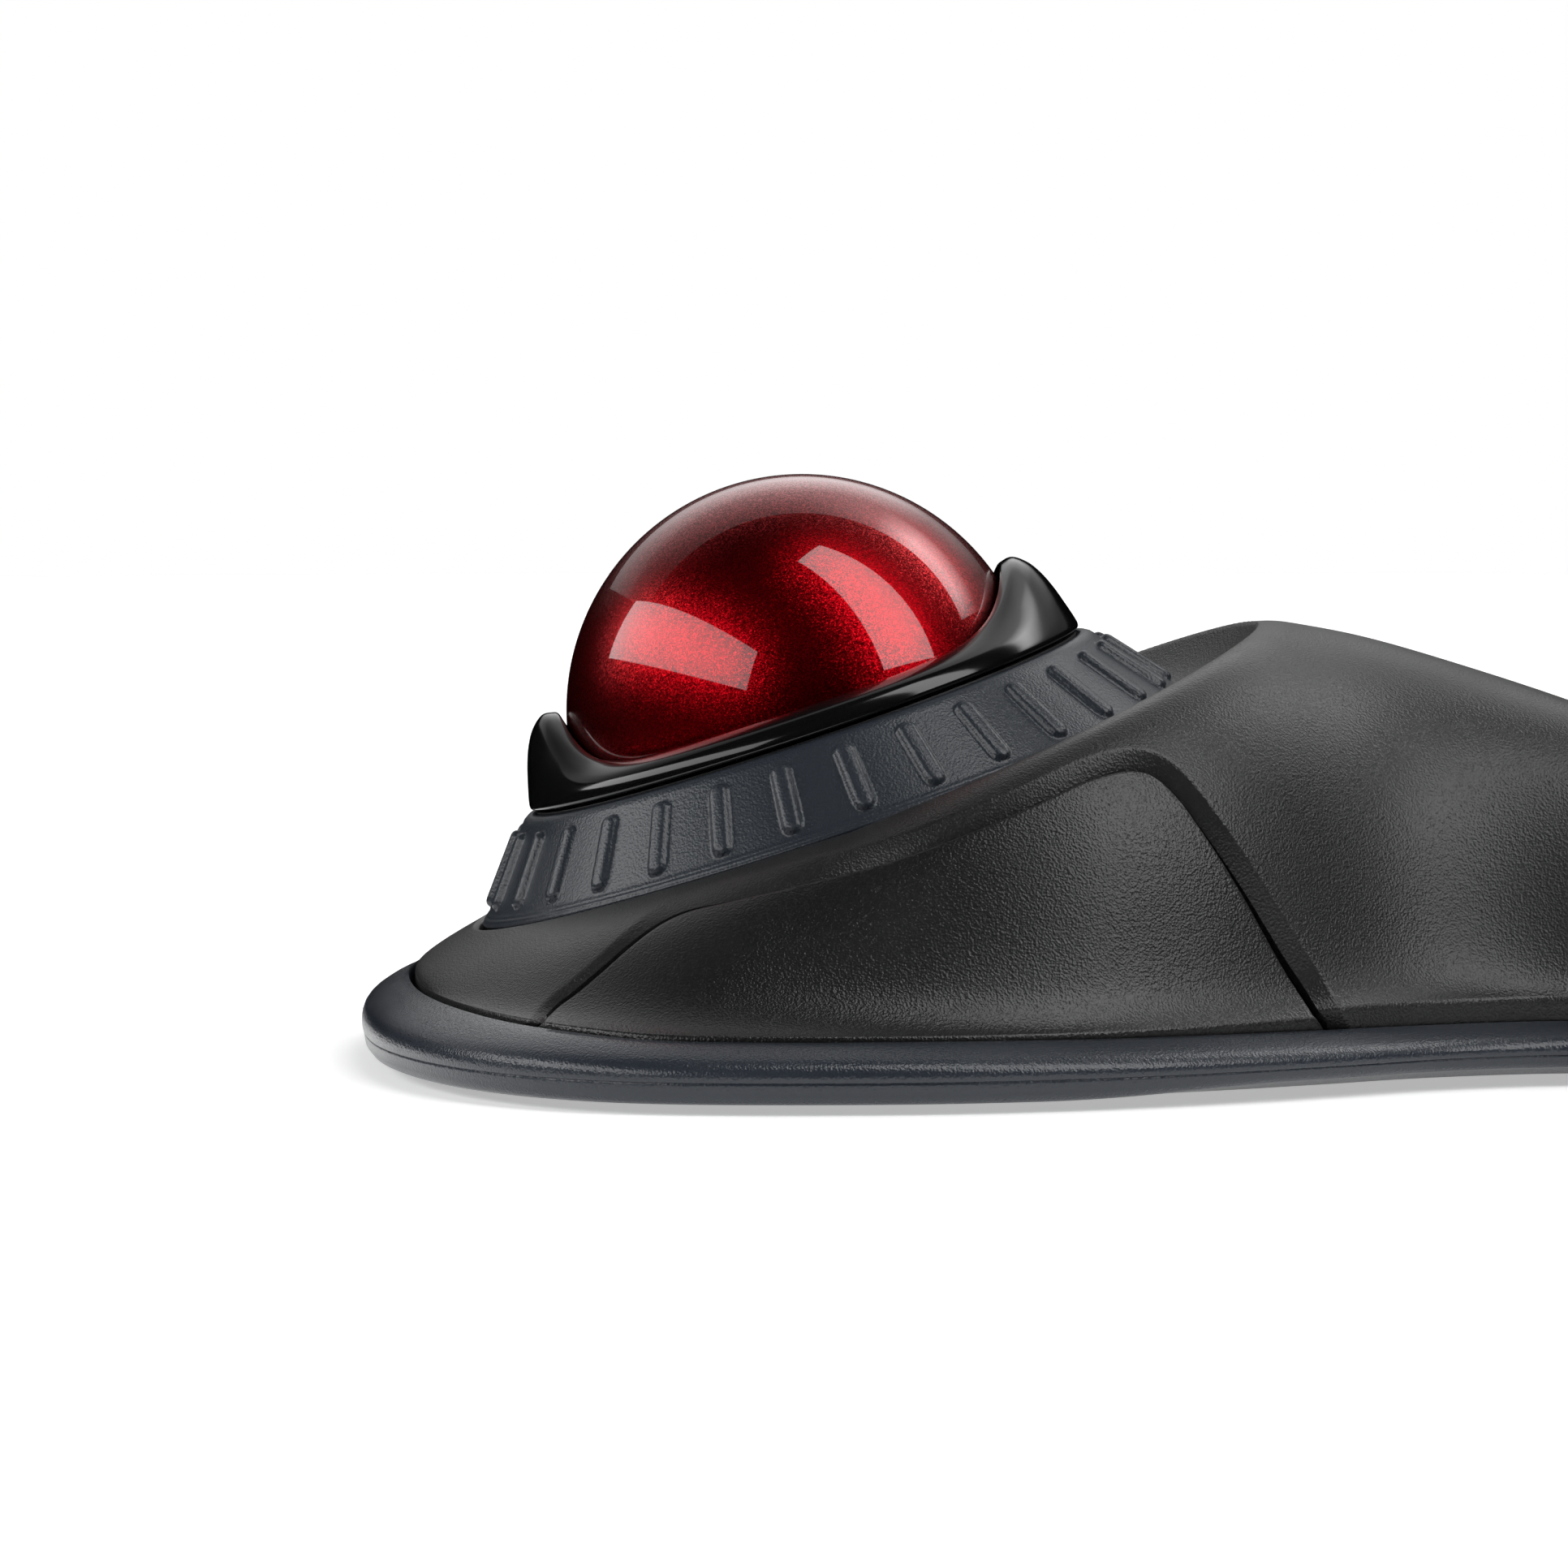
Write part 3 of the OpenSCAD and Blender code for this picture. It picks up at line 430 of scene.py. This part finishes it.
# lower edge: small round, then the straight skirt
E = S[:, -1].copy()
tan = S[:, -1] - S[:, -2]
R0 = np.minimum(0.5, 0.8 * np.linalg.norm(tan, axis=1, keepdims=True))
tan /= np.linalg.norm(tan, axis=1, keepdims=True)
zsk = tb("ZT", i_ax) - 1.1
P0, P2 = E - tan * R0, E + np.array([0, 0, -0.5])
S[:, -1] = P0
sk = []
for k in range(1, 7):
    s = k / 6
    sk.append((1 - s) ** 2 * P0 + 2 * s * (1 - s) * E + s * s * P2)
last = sk[-1]
for k in range(1, 9):
    sk.append(np.stack([last[:, 0], last[:, 1], last[:, 2] + (zsk - last[:, 2]) * k / 8], 1))
SK = np.stack(sk, 1)
SK[0, :, 0] = 0
SK[-1, :, 0] = 0

SKIN = np.concatenate([S, SK], 1)
nS = SKIN.shape[1]
LOWER = np.concatenate([LOWER, LOWER[:, -1:] * np.linspace(1, 0, SK.shape[1])[None, :, None]], 1)


# signed distance to the button's outline, in the side view
def fine_curve(P, per=16):
    P = np.asarray(P, float)
    n = len(P)
    ext = np.concatenate([[2 * P[0] - P[1]], P, [2 * P[-1] - P[-2]]])
    out = []
    for k in range(n - 1):
        t = np.linspace(0, 1, per, endpoint=False)[:, None]
        out.append(cr(ext[k], ext[k + 1], ext[k + 2], ext[k + 3], t))
    out.append(P[-1:])
    return np.concatenate(out)


SEAM = fine_curve(BTN)
CLOSED = np.concatenate([SEAM, [[-43.4, -6], [25.6, -6]]])


def seam_dist(Y, Z):
    pts = np.stack([Y.ravel(), Z.ravel()], 1)
    a, b = SEAM[:-1], SEAM[1:]
    ab = b - a
    L2 = (ab ** 2).sum(1)
    d = np.full(len(pts), 1e9)
    for k0 in range(0, len(pts), 8000):
        p_ = pts[k0:k0 + 8000]
        ap = p_[:, None] - a[None]
        t = np.clip((ap * ab[None]).sum(-1) / L2, 0, 1)
        dd = np.sqrt(((ap - t[..., None] * ab[None]) ** 2).sum(-1)).min(1)
        d[k0:k0 + 8000] = dd
    # inside test
    x, y = pts[:, 0], pts[:, 1]
    ins = np.zeros(len(pts), bool)
    c = CLOSED
    for k in range(len(c)):
        x1, y1 = c[k]
        x2, y2 = c[(k + 1) % len(c)]
        if y1 == y2:
            continue
        cond = ((y1 > y) != (y2 > y)) & (x < (x2 - x1) * (y - y1) / (y2 - y1) + x1)
        ins ^= cond
    return np.where(ins, -d, d).reshape(Y.shape)


SD = seam_dist(SKIN[..., 1], SKIN[..., 2])
# the open joint is narrow along the nose and the top and widens down the palm's side
HALF = 0.13 + 0.24 * smooth(23, 6, SKIN[..., 2]) * smooth(-26, -31, SKIN[..., 1])
FS = 0.30 / HALF
SD = SD * FS
SD = np.where(SKIN[..., 0] < -14, SD, 50.0)
NRM = grid_normals(SKIN)
if NRM[100, 20, 2] < 0:
    NRM = -NRM
# near the open mid line and the ends the gradients are one-sided; keep them in the mid plane
for rows_, cols_ in ((0, slice(None)), (-1, slice(None))):
    NRM[rows_, cols_, 0] = 0
NRM[i_ax >= 11, 0, 0] = 0
NRM /= np.maximum(np.linalg.norm(NRM, axis=-1, keepdims=True), 1e-9)
# round the lower corner the faces all move in one direction
kc = NT_ - 7
side = np.concatenate([outnorm(i_ax), np.zeros((len(i_ax), 1))], 1)
one = NRM[:, kc] + side
one /= np.linalg.norm(one, axis=1, keepdims=True)
wk = smooth(kc - 8, kc + 4, np.arange(nS))[None, :, None]
NRM = NRM * (1 - wk) + one[:, None] * wk
NRM /= np.maximum(np.linalg.norm(NRM, axis=-1, keepdims=True), 1e-9)

n_i = len(i_ax)
att = np.concatenate([SKIN.reshape(-1, 3), NRM.reshape(-1, 3), SD.reshape(-1, 1), LOWER.reshape(-1, 3), FS.reshape(-1, 1)], 1)
tris = []
for j in range(n_i - 1):
    for k in range(nS - 1):
        a = j * nS + k
        b, c, d = a + 1, a + nS + 1, a + nS
        tris.append((a, b, c))
        tris.append((a, c, d))
tris = np.array(tris)


def split_at(att, tris, lev, col=6):
    """Cuts every triangle that crosses the level, so that the level is a line of the mesh."""
    d = att[:, col] - lev
    d = np.where(np.abs(d) < 1e-6, 1e-6, d)
    sgn = d > 0
    cross = (sgn[tris].sum(1) % 3) != 0
    keep = tris[~cross]
    new, extra, cache = [], [], {}
    n0 = len(att)

    def mid(a, b):
        key = (a, b) if a < b else (b, a)
        if key not in cache:
            f = d[a] / (d[a] - d[b])
            v = att[a] + (att[b] - att[a]) * f
            v[col] = lev
            cache[key] = n0 + len(extra)
            extra.append(v)
        return cache[key]

    for t in tris[cross]:
        t = list(t)
        s = [sgn[v] for v in t]
        lone = s.index(True) if sum(s) == 1 else s.index(False)
        a, b, c = t[lone], t[(lone + 1) % 3], t[(lone + 2) % 3]
        m1, m2 = mid(a, b), mid(a, c)
        new += [(a, m1, m2), (m1, b, c), (m1, c, m2)]
    if extra:
        att = np.concatenate([att, np.array(extra)])
    return att, np.concatenate([keep, np.array(new, int).reshape(-1, 3)])


GAP = 0.30
LEV_OUT = [GAP] + [GAP + k for k in (0.12, 0.3, 0.5, 0.7, 0.85, 1.0, 1.15, 1.35, 1.6, 1.85, 2.1, 2.3, 2.5, 2.7, 2.9, 3.2)]
LEV_IN = [-GAP, -GAP - 0.06, -GAP - 0.15, -GAP - 0.28, -GAP - 0.45, -GAP - 0.65, -GAP - 0.9, -1.6]
for lev in LEV_OUT + LEV_IN:
    att, tris = split_at(att, tris, lev)


def fillet(e, R):
    x = np.clip(R - e, 0, R)
    return R - np.sqrt(np.maximum(R * R - x * x, 0))


def chamfer(e, w, slope, soft):
    """Depth of a flat chamfer of width w, with a soft upper edge."""
    x = w - e
    return slope * np.where(x > soft, x, np.where(x > -soft, (x + soft) ** 2 / (4 * soft), 0))


def build_piece(keep_tris, depth, low=0.0, thick=1.5):
    used = np.unique(keep_tris)
    remap = -np.ones(len(att), int)
    remap[used] = np.arange(len(used))
    P_ = att[used, :3] + low * att[used, 7:10]
    Vo = P_ - depth[used, None] * att[used, 3:6]
    # the wall thins out towards the lower corner at the nose, where the two pieces part
    wall = (thick + 0.3) * (1 - 0.58 * smooth(9, 14, att[used, 1]) * smooth(11, 7, att[used, 2]))
    Vi = P_ - np.reshape(wall, (-1, 1)) * att[used, 3:6]
    Vi[:, 0] = np.minimum(Vi[:, 0], np.where(att[used, 0] > -1e-6, 0, -0.0005))
    Vo[:, 0] = np.where(att[used, 0] > -1e-6, 0, np.minimum(Vo[:, 0], -0.0005))
    Vi[:, 0] = np.where(att[used, 0] > -1e-6, 0, Vi[:, 0])
    return Vo, Vi, remap[keep_tris]


def boundary(tr):
    from collections import defaultdict
    cnt = {}
    for a, b, c in tr:
        for e in ((a, b), (b, c), (c, a)):
            r_ = (e[1], e[0])
            if r_ in cnt:
                del cnt[r_]
            else:
                cnt[e] = True
    return list(cnt)


d_all = att[:, 6]
cen = d_all[tris].mean(1)
zfrac = att[:, 2]

# button faces
bt = tris[cen < -GAP]
f_all = att[:, 10]
e_in = (-d_all - GAP) / f_all
low = smooth(5.0, 9.0, zfrac)
dep_b = fillet(np.maximum(e_in, 0), 0.3) + 0.2 * low
Vo, Vi, T_ = build_piece(bt, dep_b, 1.0)
bd = boundary([tuple(x) for x in T_])
nV = len(Vo)
F = [tuple(t) for t in T_] + [(t[0] + nV, t[2] + nV, t[1] + nV) for t in T_] + [(a, b, b + nV, a + nV) for a, b in bd]
btn_v = np.concatenate([Vo, Vi])
left = make("left_button_skin", place(btn_v), F, M["button"], "left_button", weld=2e-7)
mv = btn_v.copy()
mv[:, 0] *= -1
right = make("right_button_skin", place(mv), [tuple(reversed(f)) for f in F], M["button"], "right_button", weld=2e-7)
for ob, n in ((left, "left_button"), (right, "right_button")):
    sharpen(ob, 50)
    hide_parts(n)

# shell faces: everything outside the seam, plus the finger relief
sh = tris[(cen > GAP) & ~(np.abs(att[:, 0][tris]) < 1e-6).all(1)]
# the chamfer along the shell's side of the seam narrows towards the nose
cw = 0.42 + 0.78 * smooth(21, -2, att[:, 1])
dep_s = chamfer(np.maximum(d_all - GAP, 0) / f_all, cw, 0.8, 0.12)
Vo, Vi, T_ = build_piece(sh, dep_s)
# the inside keeps clear of the ring's hole
rq = np.stack([Vi[:, 0], Vi[:, 1] * CT - (Vi[:, 2] - BZ) * ST, Vi[:, 1] * ST + (Vi[:, 2] - BZ) * CT], 1)
rr_ = np.hypot(rq[:, 0], rq[:, 1])
k_ = np.where(rr_ < 33.0, 33.0 / np.maximum(rr_, 1), 1.0)
Vi = np.stack([rq[:, 0] * k_, rq[:, 1] * k_ * CT + rq[:, 2] * ST, BZ - rq[:, 1] * k_ * ST + rq[:, 2] * CT], 1)
used = np.unique(sh)
on_mid = np.abs(att[used, 0]) < 1e-6
on_ridge = (used % nS == 0) & (used < len(ic) * nS)
nV = len(Vo)
verts = [Vo, Vi]
F = [tuple(t) for t in T_] + [(t[0] + nV, t[2] + nV, t[1] + nV) for t in T_]
for a_, b_ in boundary([tuple(x) for x in T_]):
    if not (on_mid[a_] and on_mid[b_]) and not (on_ridge[a_] and on_ridge[b_]):
        F.append((a_, b_, b_ + nV, a_ + nV))
# relief grid shares the ridge column
W_ = np.concatenate([S[: len(ic), :1], WALL], 1)
nw = W_.shape[1]
gf = grid_faces(len(ic), nw, base=2 * nV)
verts.append(W_.reshape(-1, 3))
F += [tuple(reversed(f)) for f in gf]
inner_ridge = np.searchsorted(used, np.arange(len(ic)) * nS) + nV
wl = 2 * nV + np.arange(len(ic)) * nw + nw - 1
F += [(int(inner_ridge[j]), int(inner_ridge[j + 1]), int(wl[j + 1]), int(wl[j])) for j in range(len(ic) - 1)]
half = np.concatenate(verts)
half[np.abs(half[:, 0]) < 1e-5, 0] = 0
# flange under the seam
fl = tris[(cen < 2.2) & (cen > -3.0) & (att[:, 1][tris].mean(1) > -60) & (att[:, 2][tris].mean(1) > 7.5)]
fu = np.unique(fl)
fm_ = -np.ones(len(att), int)
fm_[fu] = np.arange(len(fu))
FT = fm_[fl]
fo, fi = att[fu, :3] - 3.0 * att[fu, 3:6], att[fu, :3] - 3.4 * att[fu, 3:6]
nfu = len(fu)
FLV = np.concatenate([fo, fi])
FLF = [tuple(t) for t in FT] + [(t[0] + nfu, t[2] + nfu, t[1] + nfu) for t in FT] + [(a, b, b + nfu, a + nfu) for a, b in boundary([tuple(x) for x in FT])]
mh = half.copy()
mh[:, 0] *= -1
allv = np.concatenate([half, mh])
F2 = [tuple(len(half) + k for k in reversed(f)) for f in F]
shell = make("top_shell_skin", place(allv), F + F2, M["shell"], "root", weld=3e-7)
sharpen(shell, 55)
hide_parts("top_shell")
FLM = FLV * np.array([-1, 1, 1])
flange = make("seam_flange", place(np.concatenate([FLV, FLM])), FLF + [tuple(len(FLV) + k for k in reversed(f)) for f in FLF], M["shell"], "root", weld=2e-7)

# ------------------------------------------------------------ base trim
TRP = [(1.9, 0.0), (1.25, 0.06), (0.7, 0.3), (0.3, 0.8), (0.2, 1.3), (0.17, 1.62), (0.16, 1.76), (0.2, 1.83), (0.2, 1.87), (0.08, 1.93), (0.03, 2.1),
       (0.0, 2.6), (0.06, 3.1), (0.25, 3.65), (0.6, 4.15), (1.1, 4.62), (1.75, 5.08), (2.5, 5.55), (3.2, 5.92), (3.7, 6.12)]
ti = np.linspace(0, 18, 18 * 20 + 1)
zt, ins_ = tb("ZT", ti), tb("INS", ti)
f_ = (zt - 1.9) / 4.4
secs = []
for d, z in TRP:
    dd = np.minimum(d, ins_ - 0.35)
    q = inset(ti, dd)
    # the lower part is shallower from the waist back
    lo_ = 1.93 - (1.93 - z) * (1 - 0.36 * smooth(7.6, 9.6, ti))
    secs.append(np.concatenate([q, (lo_ if z <= 1.93 else 1.93 + (z - 1.93) * f_)[:, None]], 1))
for dd, zz in ((ins_ - 0.12, zt + 0.0), (ins_ - 0.02, zt - 0.12), (ins_, zt - 0.35), (ins_, 0.5 + 0 * ti), (ins_ - 0.3, 0.05 + 0 * ti)):
    q = inset(ti, dd)
    secs.append(np.concatenate([q, zz[:, None]], 1))
G = np.stack(secs, 1)
G[0, :, 0] = 0
G[-1, :, 0] = 0
mG = G[1:-1][::-1].copy()
mG[..., 0] *= -1
ALL = np.concatenate([G, mG])
trim = make("base_trim_skin", place(ALL.reshape(-1, 3)), grid_faces(ALL.shape[0], ALL.shape[1], True, True), M["trim"], "root")
sharpen(trim, 60)
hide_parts("base_trim")


# ------------------------------------------------------------ ball, bezel, ring
def tilt(P):
    """ring frame (x, forward, up) to the body's own."""
    P = np.asarray(P, float)
    x, y, z = P[..., 0], P[..., 1], P[..., 2]
    return np.stack([x, y * CT + z * ST, BZ - y * ST + z * CT], -1)


def revolve(prof_fn, n, name, mat, body, closed=True, sharp=60):
    rows_ = []
    for j in range(n):
        a = 2 * math.pi * j / n
        pr = np.asarray(prof_fn(a), float)
        rows_.append(np.stack([pr[:, 0] * math.sin(a), pr[:, 0] * math.cos(a), pr[:, 1]], 1))
    R_ = np.stack(rows_)
    ob = make(name, place(tilt(R_).reshape(-1, 3)), grid_faces(n, R_.shape[1], True, closed), mat, body)
    sharpen(ob, sharp)
    return ob


bm = bmesh.new()
bmesh.ops.create_icosphere(bm, subdivisions=6, radius=20 * MM)
me = bpy.data.meshes.new("ball_flake")
bm.to_mesh(me)
bm.free()
me.polygons.foreach_set("use_smooth", [True] * len(me.polygons))
ball = bpy.data.objects.new("ball_flake", me)
bpy.context.scene.collection.objects.link(ball)
cb = place([0, 0, BZ])
me.transform(Matrix.Translation(Vector(cb)))
me.materials.append(M["ball"])
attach(ball, "ball")
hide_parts("ball")


def closed_curve(P, per=6):
    P = np.asarray(P, float)
    n = len(P)
    out = []
    for k in range(n):
        t = np.linspace(0, 1, per, endpoint=False)[:, None]
        out.append(cr(P[k - 1], P[k], P[(k + 1) % n], P[(k + 2) % n], t))
    return np.concatenate(out)


def bezel_prof(a):
    c = math.cos(a)
    e = abs(c) ** (12 if c > 0 else 6)
    h = 1.45 + 5.1 * e
    P = [(22.85, -3.6), (22.85, -0.9), (23.6, -0.72), (24.3, -0.72), (24.52, -0.5), (24.42, 0.05 + 0.1 * e), (24.05, 0.6 + 0.9 * e),
         (23.5 + 0.1 * e, 0.98 + 2.0 * e), (22.8 + 0.2 * e, 1.25 + 3.2 * e), (22.1 + 0.1 * e, 1.42 + 4.3 * e), (21.4 - 0.3 * e, h + 0.05), (20.85 - 0.7 * e, h),
         (20.42 - 0.75 * e, h - 0.3), (20.25 - 0.62 * e, h - 0.75 - 0.5 * e), (20.3 - 0.1 * e, 0.2 + 1.2 * e), (20.9, -3.6)]
    return closed_curve(P, 5)


bezel = revolve(bezel_prof, 288, "ball_bezel_skin", M["bezel"], "root")
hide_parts("ball_bezel")

# scroll ring: the conical face carries the ribs as its own relief
cone = [(24.16, -9.2), (24.16, -1.3), (24.3, -1.15), (24.6, -1.12), (25.0, -1.2), (25.35, -1.42), (25.62, -1.72), (25.85, -2.02)]
n_c = 70
for k in range(1, n_c + 1):
    s = k / n_c
    cone.append((25.85 + (30.55 - 25.85) * s, -2.02 + (-7.75 + 2.02) * s))
cone += [(30.72, -7.92), (30.86, -8.0), (30.9, -8.08), (30.96, -8.16), (31.1, -8.22), (31.22, -8.3), (31.24, -8.38), (31.3, -8.46), (31.42, -8.54), (31.46, -8.64),
         (31.44, -8.78), (31.32, -8.9), (30, -8.9), (27.3, -5.9), (26.2, -4.6), (25.7, -4.6), (25.7, -9.2)]
cone = np.array(cone)
dirc = np.array([30.55 - 25.85, -7.75 + 2.02])
Lc = np.linalg.norm(dirc)
dirc /= Lc
nc = np.array([-dirc[1], dirc[0]])
NR = 30
PER = 36
na = NR * PER
rows_ = []
S0, S1, RB, HB = 0.2, 7.2, 0.88, 0.6
for j in range(na):
    a = 2 * math.pi * (j / na) + math.radians(2.52)
    u = ((j / PER + 0.5) % 1.0) - 0.5          # -0.5..0.5 about a rib
    pr = cone.copy()
    seg = slice(7, 8 + n_c)
    P = pr[seg]
    s = (P - cone[7]) @ dirc
    arc = u * 2 * math.pi / NR * P[:, 0]
    ds = np.where(s < S0 + RB, s - S0 - RB, np.where(s > S1 - RB, s - S1 + RB, 0))
    dist = np.hypot(ds, arc)
    x = np.clip(dist / RB, 0, 1.35)
    core = np.sqrt(np.clip(1 - np.clip(x, 0, 1) ** 3.2, 0, 1)) * HB
    foot = 0.06 * np.clip(1 - (x - 0.85) / 0.5, 0, 1) ** 2 * (x > 0.85)
    hgt = np.maximum(core, foot)
    pr[seg] = P + nc[None] * hgt[:, None]
    rows_.append(np.stack([pr[:, 0] * math.sin(a), pr[:, 0] * math.cos(a), pr[:, 1]], 1))
R_ = np.stack(rows_)
ring = make("scroll_ring_skin", place(tilt(R_).reshape(-1, 3)), grid_faces(na, R_.shape[1], True, True), M["ring"], "scroll_ring")
sharpen(ring, 60)
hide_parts("scroll_ring")

# ------------------------------------------------------------ stage
az, el, D = math.radians(-92.35), math.radians(3.5), 1000.0
c = np.array([math.sin(az) * math.cos(el), -math.cos(az) * math.cos(el), math.sin(el)])
f = -c
r_ = np.cross(f, [0, 0, 1.0])
r_ /= np.linalg.norm(r_)
u_ = np.cross(r_, f)
BC = np.array(place([0, 0, BZ]))


def aim(r, u, t):
    """A studio point, metres to the right, up and towards the viewer from the ball's centre."""
    return BC + r_ * r + u_ * u + c * t


def panel(name, corners, lum, n=24):
    """A softbox face; lum(u, v) is its radiance over the face, u along the first edge, v along the last."""
    a_, b_, c_, d_ = (np.array(aim(*q)) for q in corners)
    V, F, Lm = [], [], []
    for i in range(n + 1):
        for j in range(n + 1):
            u, v = i / n, j / n
            V.append(tuple((a_ * (1 - u) + b_ * u) * (1 - v) + (d_ * (1 - u) + c_ * u) * v))
            Lm.append(float(lum(u, v)))
    for i in range(n):
        for j in range(n):
            k = i * (n + 1) + j
            F.append((k, k + 1, k + n + 2, k + n + 1))
    me = bpy.data.meshes.new(name)
    me.from_pydata(V, [], F)
    at = me.attributes.new("lum", "FLOAT", "POINT")
    at.data.foreach_set("value", Lm)
    ob = bpy.data.objects.new(name, me)
    bpy.context.scene.collection.objects.link(ob)
    mat = bpy.data.materials.new(name + "_light")
    mat.use_nodes = True
    nt = mat.node_tree
    for n_ in list(nt.nodes):
        nt.nodes.remove(n_)
    out = nt.nodes.new("ShaderNodeOutputMaterial")
    em = nt.nodes.new("ShaderNodeEmission")
    nt.links.new(em.outputs[0], out.inputs[0])
    an = nt.nodes.new("ShaderNodeAttribute")
    an.attribute_name = "lum"
    nt.links.new(an.outputs["Fac"], em.inputs["Strength"])
    me.materials.append(mat)
    ob.visible_camera = False
    ob.visible_shadow = False
    return ob


def table2(xs, ys, vals):
    """Smooth lookup in a small table, rows along y."""
    vals = np.asarray(vals, float)

    def fn(x, y):
        r = [np.interp(x, xs, row) for row in vals]
        return float(np.interp(y, ys, r))
    return fn


top_lum = table2([-1.4, -0.875, 0.0, 0.35, 0.6, 1.2, 1.6], [-2.6, -1.85, -1.1, -0.875, -0.62, -0.495, -0.34],
                 [[0.3, 0.5, 0.9, 0.6, 0.3, 0.1, 0.1],
                  [0.4, 0.52, 1.5, 1.3, 0.6, 0.1, 0.1],
                  [0.3, 0.4, 1.1, 0.9, 0.4, 0.2, 0.1],
                  [0.15, 0.2, 0.7, 0.6, 0.4, 0.4, 0.2],
                  [0.1, 0.15, 0.6, 0.9, 3.0, 2.6, 1.0],
                  [0.08, 0.1, 0.5, 1.2, 5.0, 4.4, 1.6],
                  [0.08, 0.1, 0.4, 1.0, 4.6, 4.0, 1.4]])
panel("softbox_left", [(-1.137, 0.749, -0.572), (-0.470, 0.603, 1.087), (-0.556, 0.184, 1.085), (-1.223, 0.330, -0.574)],
      lambda u, v: 3.7 - 1.0 * u)
panel("softbox_strip", [(-0.044, 1.536, 0.371), (0.168, 1.582, 0.072), (0.676, 0.265, 0.227), (0.463, 0.219, 0.526)],
      lambda u, v: 3.9)
panel("softbox_top", [(-1.4, 0.9, -0.34), (1.6, 0.9, -0.34), (1.6, 0.9, -2.6), (-1.4, 0.9, -2.6)],
      lambda u, v: top_lum(-1.4 + 3.0 * u, -0.34 - 2.26 * v), 60)

# round pale floor, and a white surround that only closes the picture
fm = bpy.data.materials.new("floor_pale")
nt, N, L, b = nodes_of(fm)
b.inputs["Base Color"].default_value = (0.93, 0.93, 0.93, 1)
b.inputs["Roughness"].default_value = 0.7
b.inputs["Specular IOR Level"].default_value = 0.2
b.inputs["Emission Color"].default_value = (1, 1, 1, 1)
b.inputs["Emission Strength"].default_value = 0.42
NF = 96


def disc(name, r0, r1):
    fv = [(r * math.cos(2 * math.pi * k / NF), r * math.sin(2 * math.pi * k / NF), 0.0) for r in (r0, r1) for k in range(NF)]
    ff = [(k, NF + k, NF + (k + 1) % NF, (k + 1) % NF) for k in range(NF)]
    if r0 < 1e-3:
        fv = fv[NF:] + [(0.0, 0.0, 0.0)]
        ff = [(NF, k, (k + 1) % NF) for k in range(NF)]
    me = bpy.data.meshes.new(name)
    me.from_pydata(fv, [], ff)
    me.materials.append(fm)
    ob = bpy.data.objects.new(name, me)
    bpy.context.scene.collection.objects.link(ob)
    return ob


floor = disc("floor", 0.0, 0.12)
floor_far = disc("floor_far", 0.12, 0.95)
floor_far.visible_glossy = False

world = bpy.data.worlds.new("studio")
bpy.context.scene.world = world
world.use_nodes = True
bg = world.node_tree.nodes["Background"]
bg.inputs["Color"].default_value = (1, 1, 1, 1)
bg.inputs["Strength"].default_value = 1.0
world.cycles_visibility.diffuse = False
world.cycles_visibility.glossy = False


def area(name, loc, size, radiance):
    li = bpy.data.lights.new(name, "AREA")
    li.shape = "SQUARE"
    li.size = size
    li.energy = radiance * math.pi * size * size
    ob = bpy.data.objects.new(name, li)
    bpy.context.scene.collection.objects.link(ob)
    ob.location = tuple(loc)
    ob.rotation_euler = (Vector(BC) - Vector(loc)).to_track_quat("-Z", "Y").to_euler()
    ob.visible_glossy = False
    return ob


area("fill_front", aim(0.0, 0.5, 1.3), 0.9, 0.25)
area("fill_back_left", aim(-0.9, 0.5, -1.0), 0.5, 0.8)
area("fill_back_right", aim(0.9, 0.4, -1.0), 0.5, 0.8)

# ------------------------------------------------------------ camera
FP = 14515.0
pos = np.array([0, 0, BZ]) - f * D - r_ * (988.1 - 966) / FP * D - u_ * (966 - 874.3) / FP * D
cam = bpy.data.cameras.new("cam")
cam.sensor_width = 36
cam.lens = FP / 1932 * 36
cam.clip_start, cam.clip_end = 0.05, 50
co = bpy.data.objects.new("cam", cam)
bpy.context.scene.collection.objects.link(co)
Mx = Matrix((Vector(r_), Vector(u_), Vector(-f))).transposed().to_4x4()
Mx.translation = Vector(place(pos))
co.matrix_world = Mx
bpy.context.scene.camera = co
bpy.context.scene.view_settings.view_transform = "Standard"
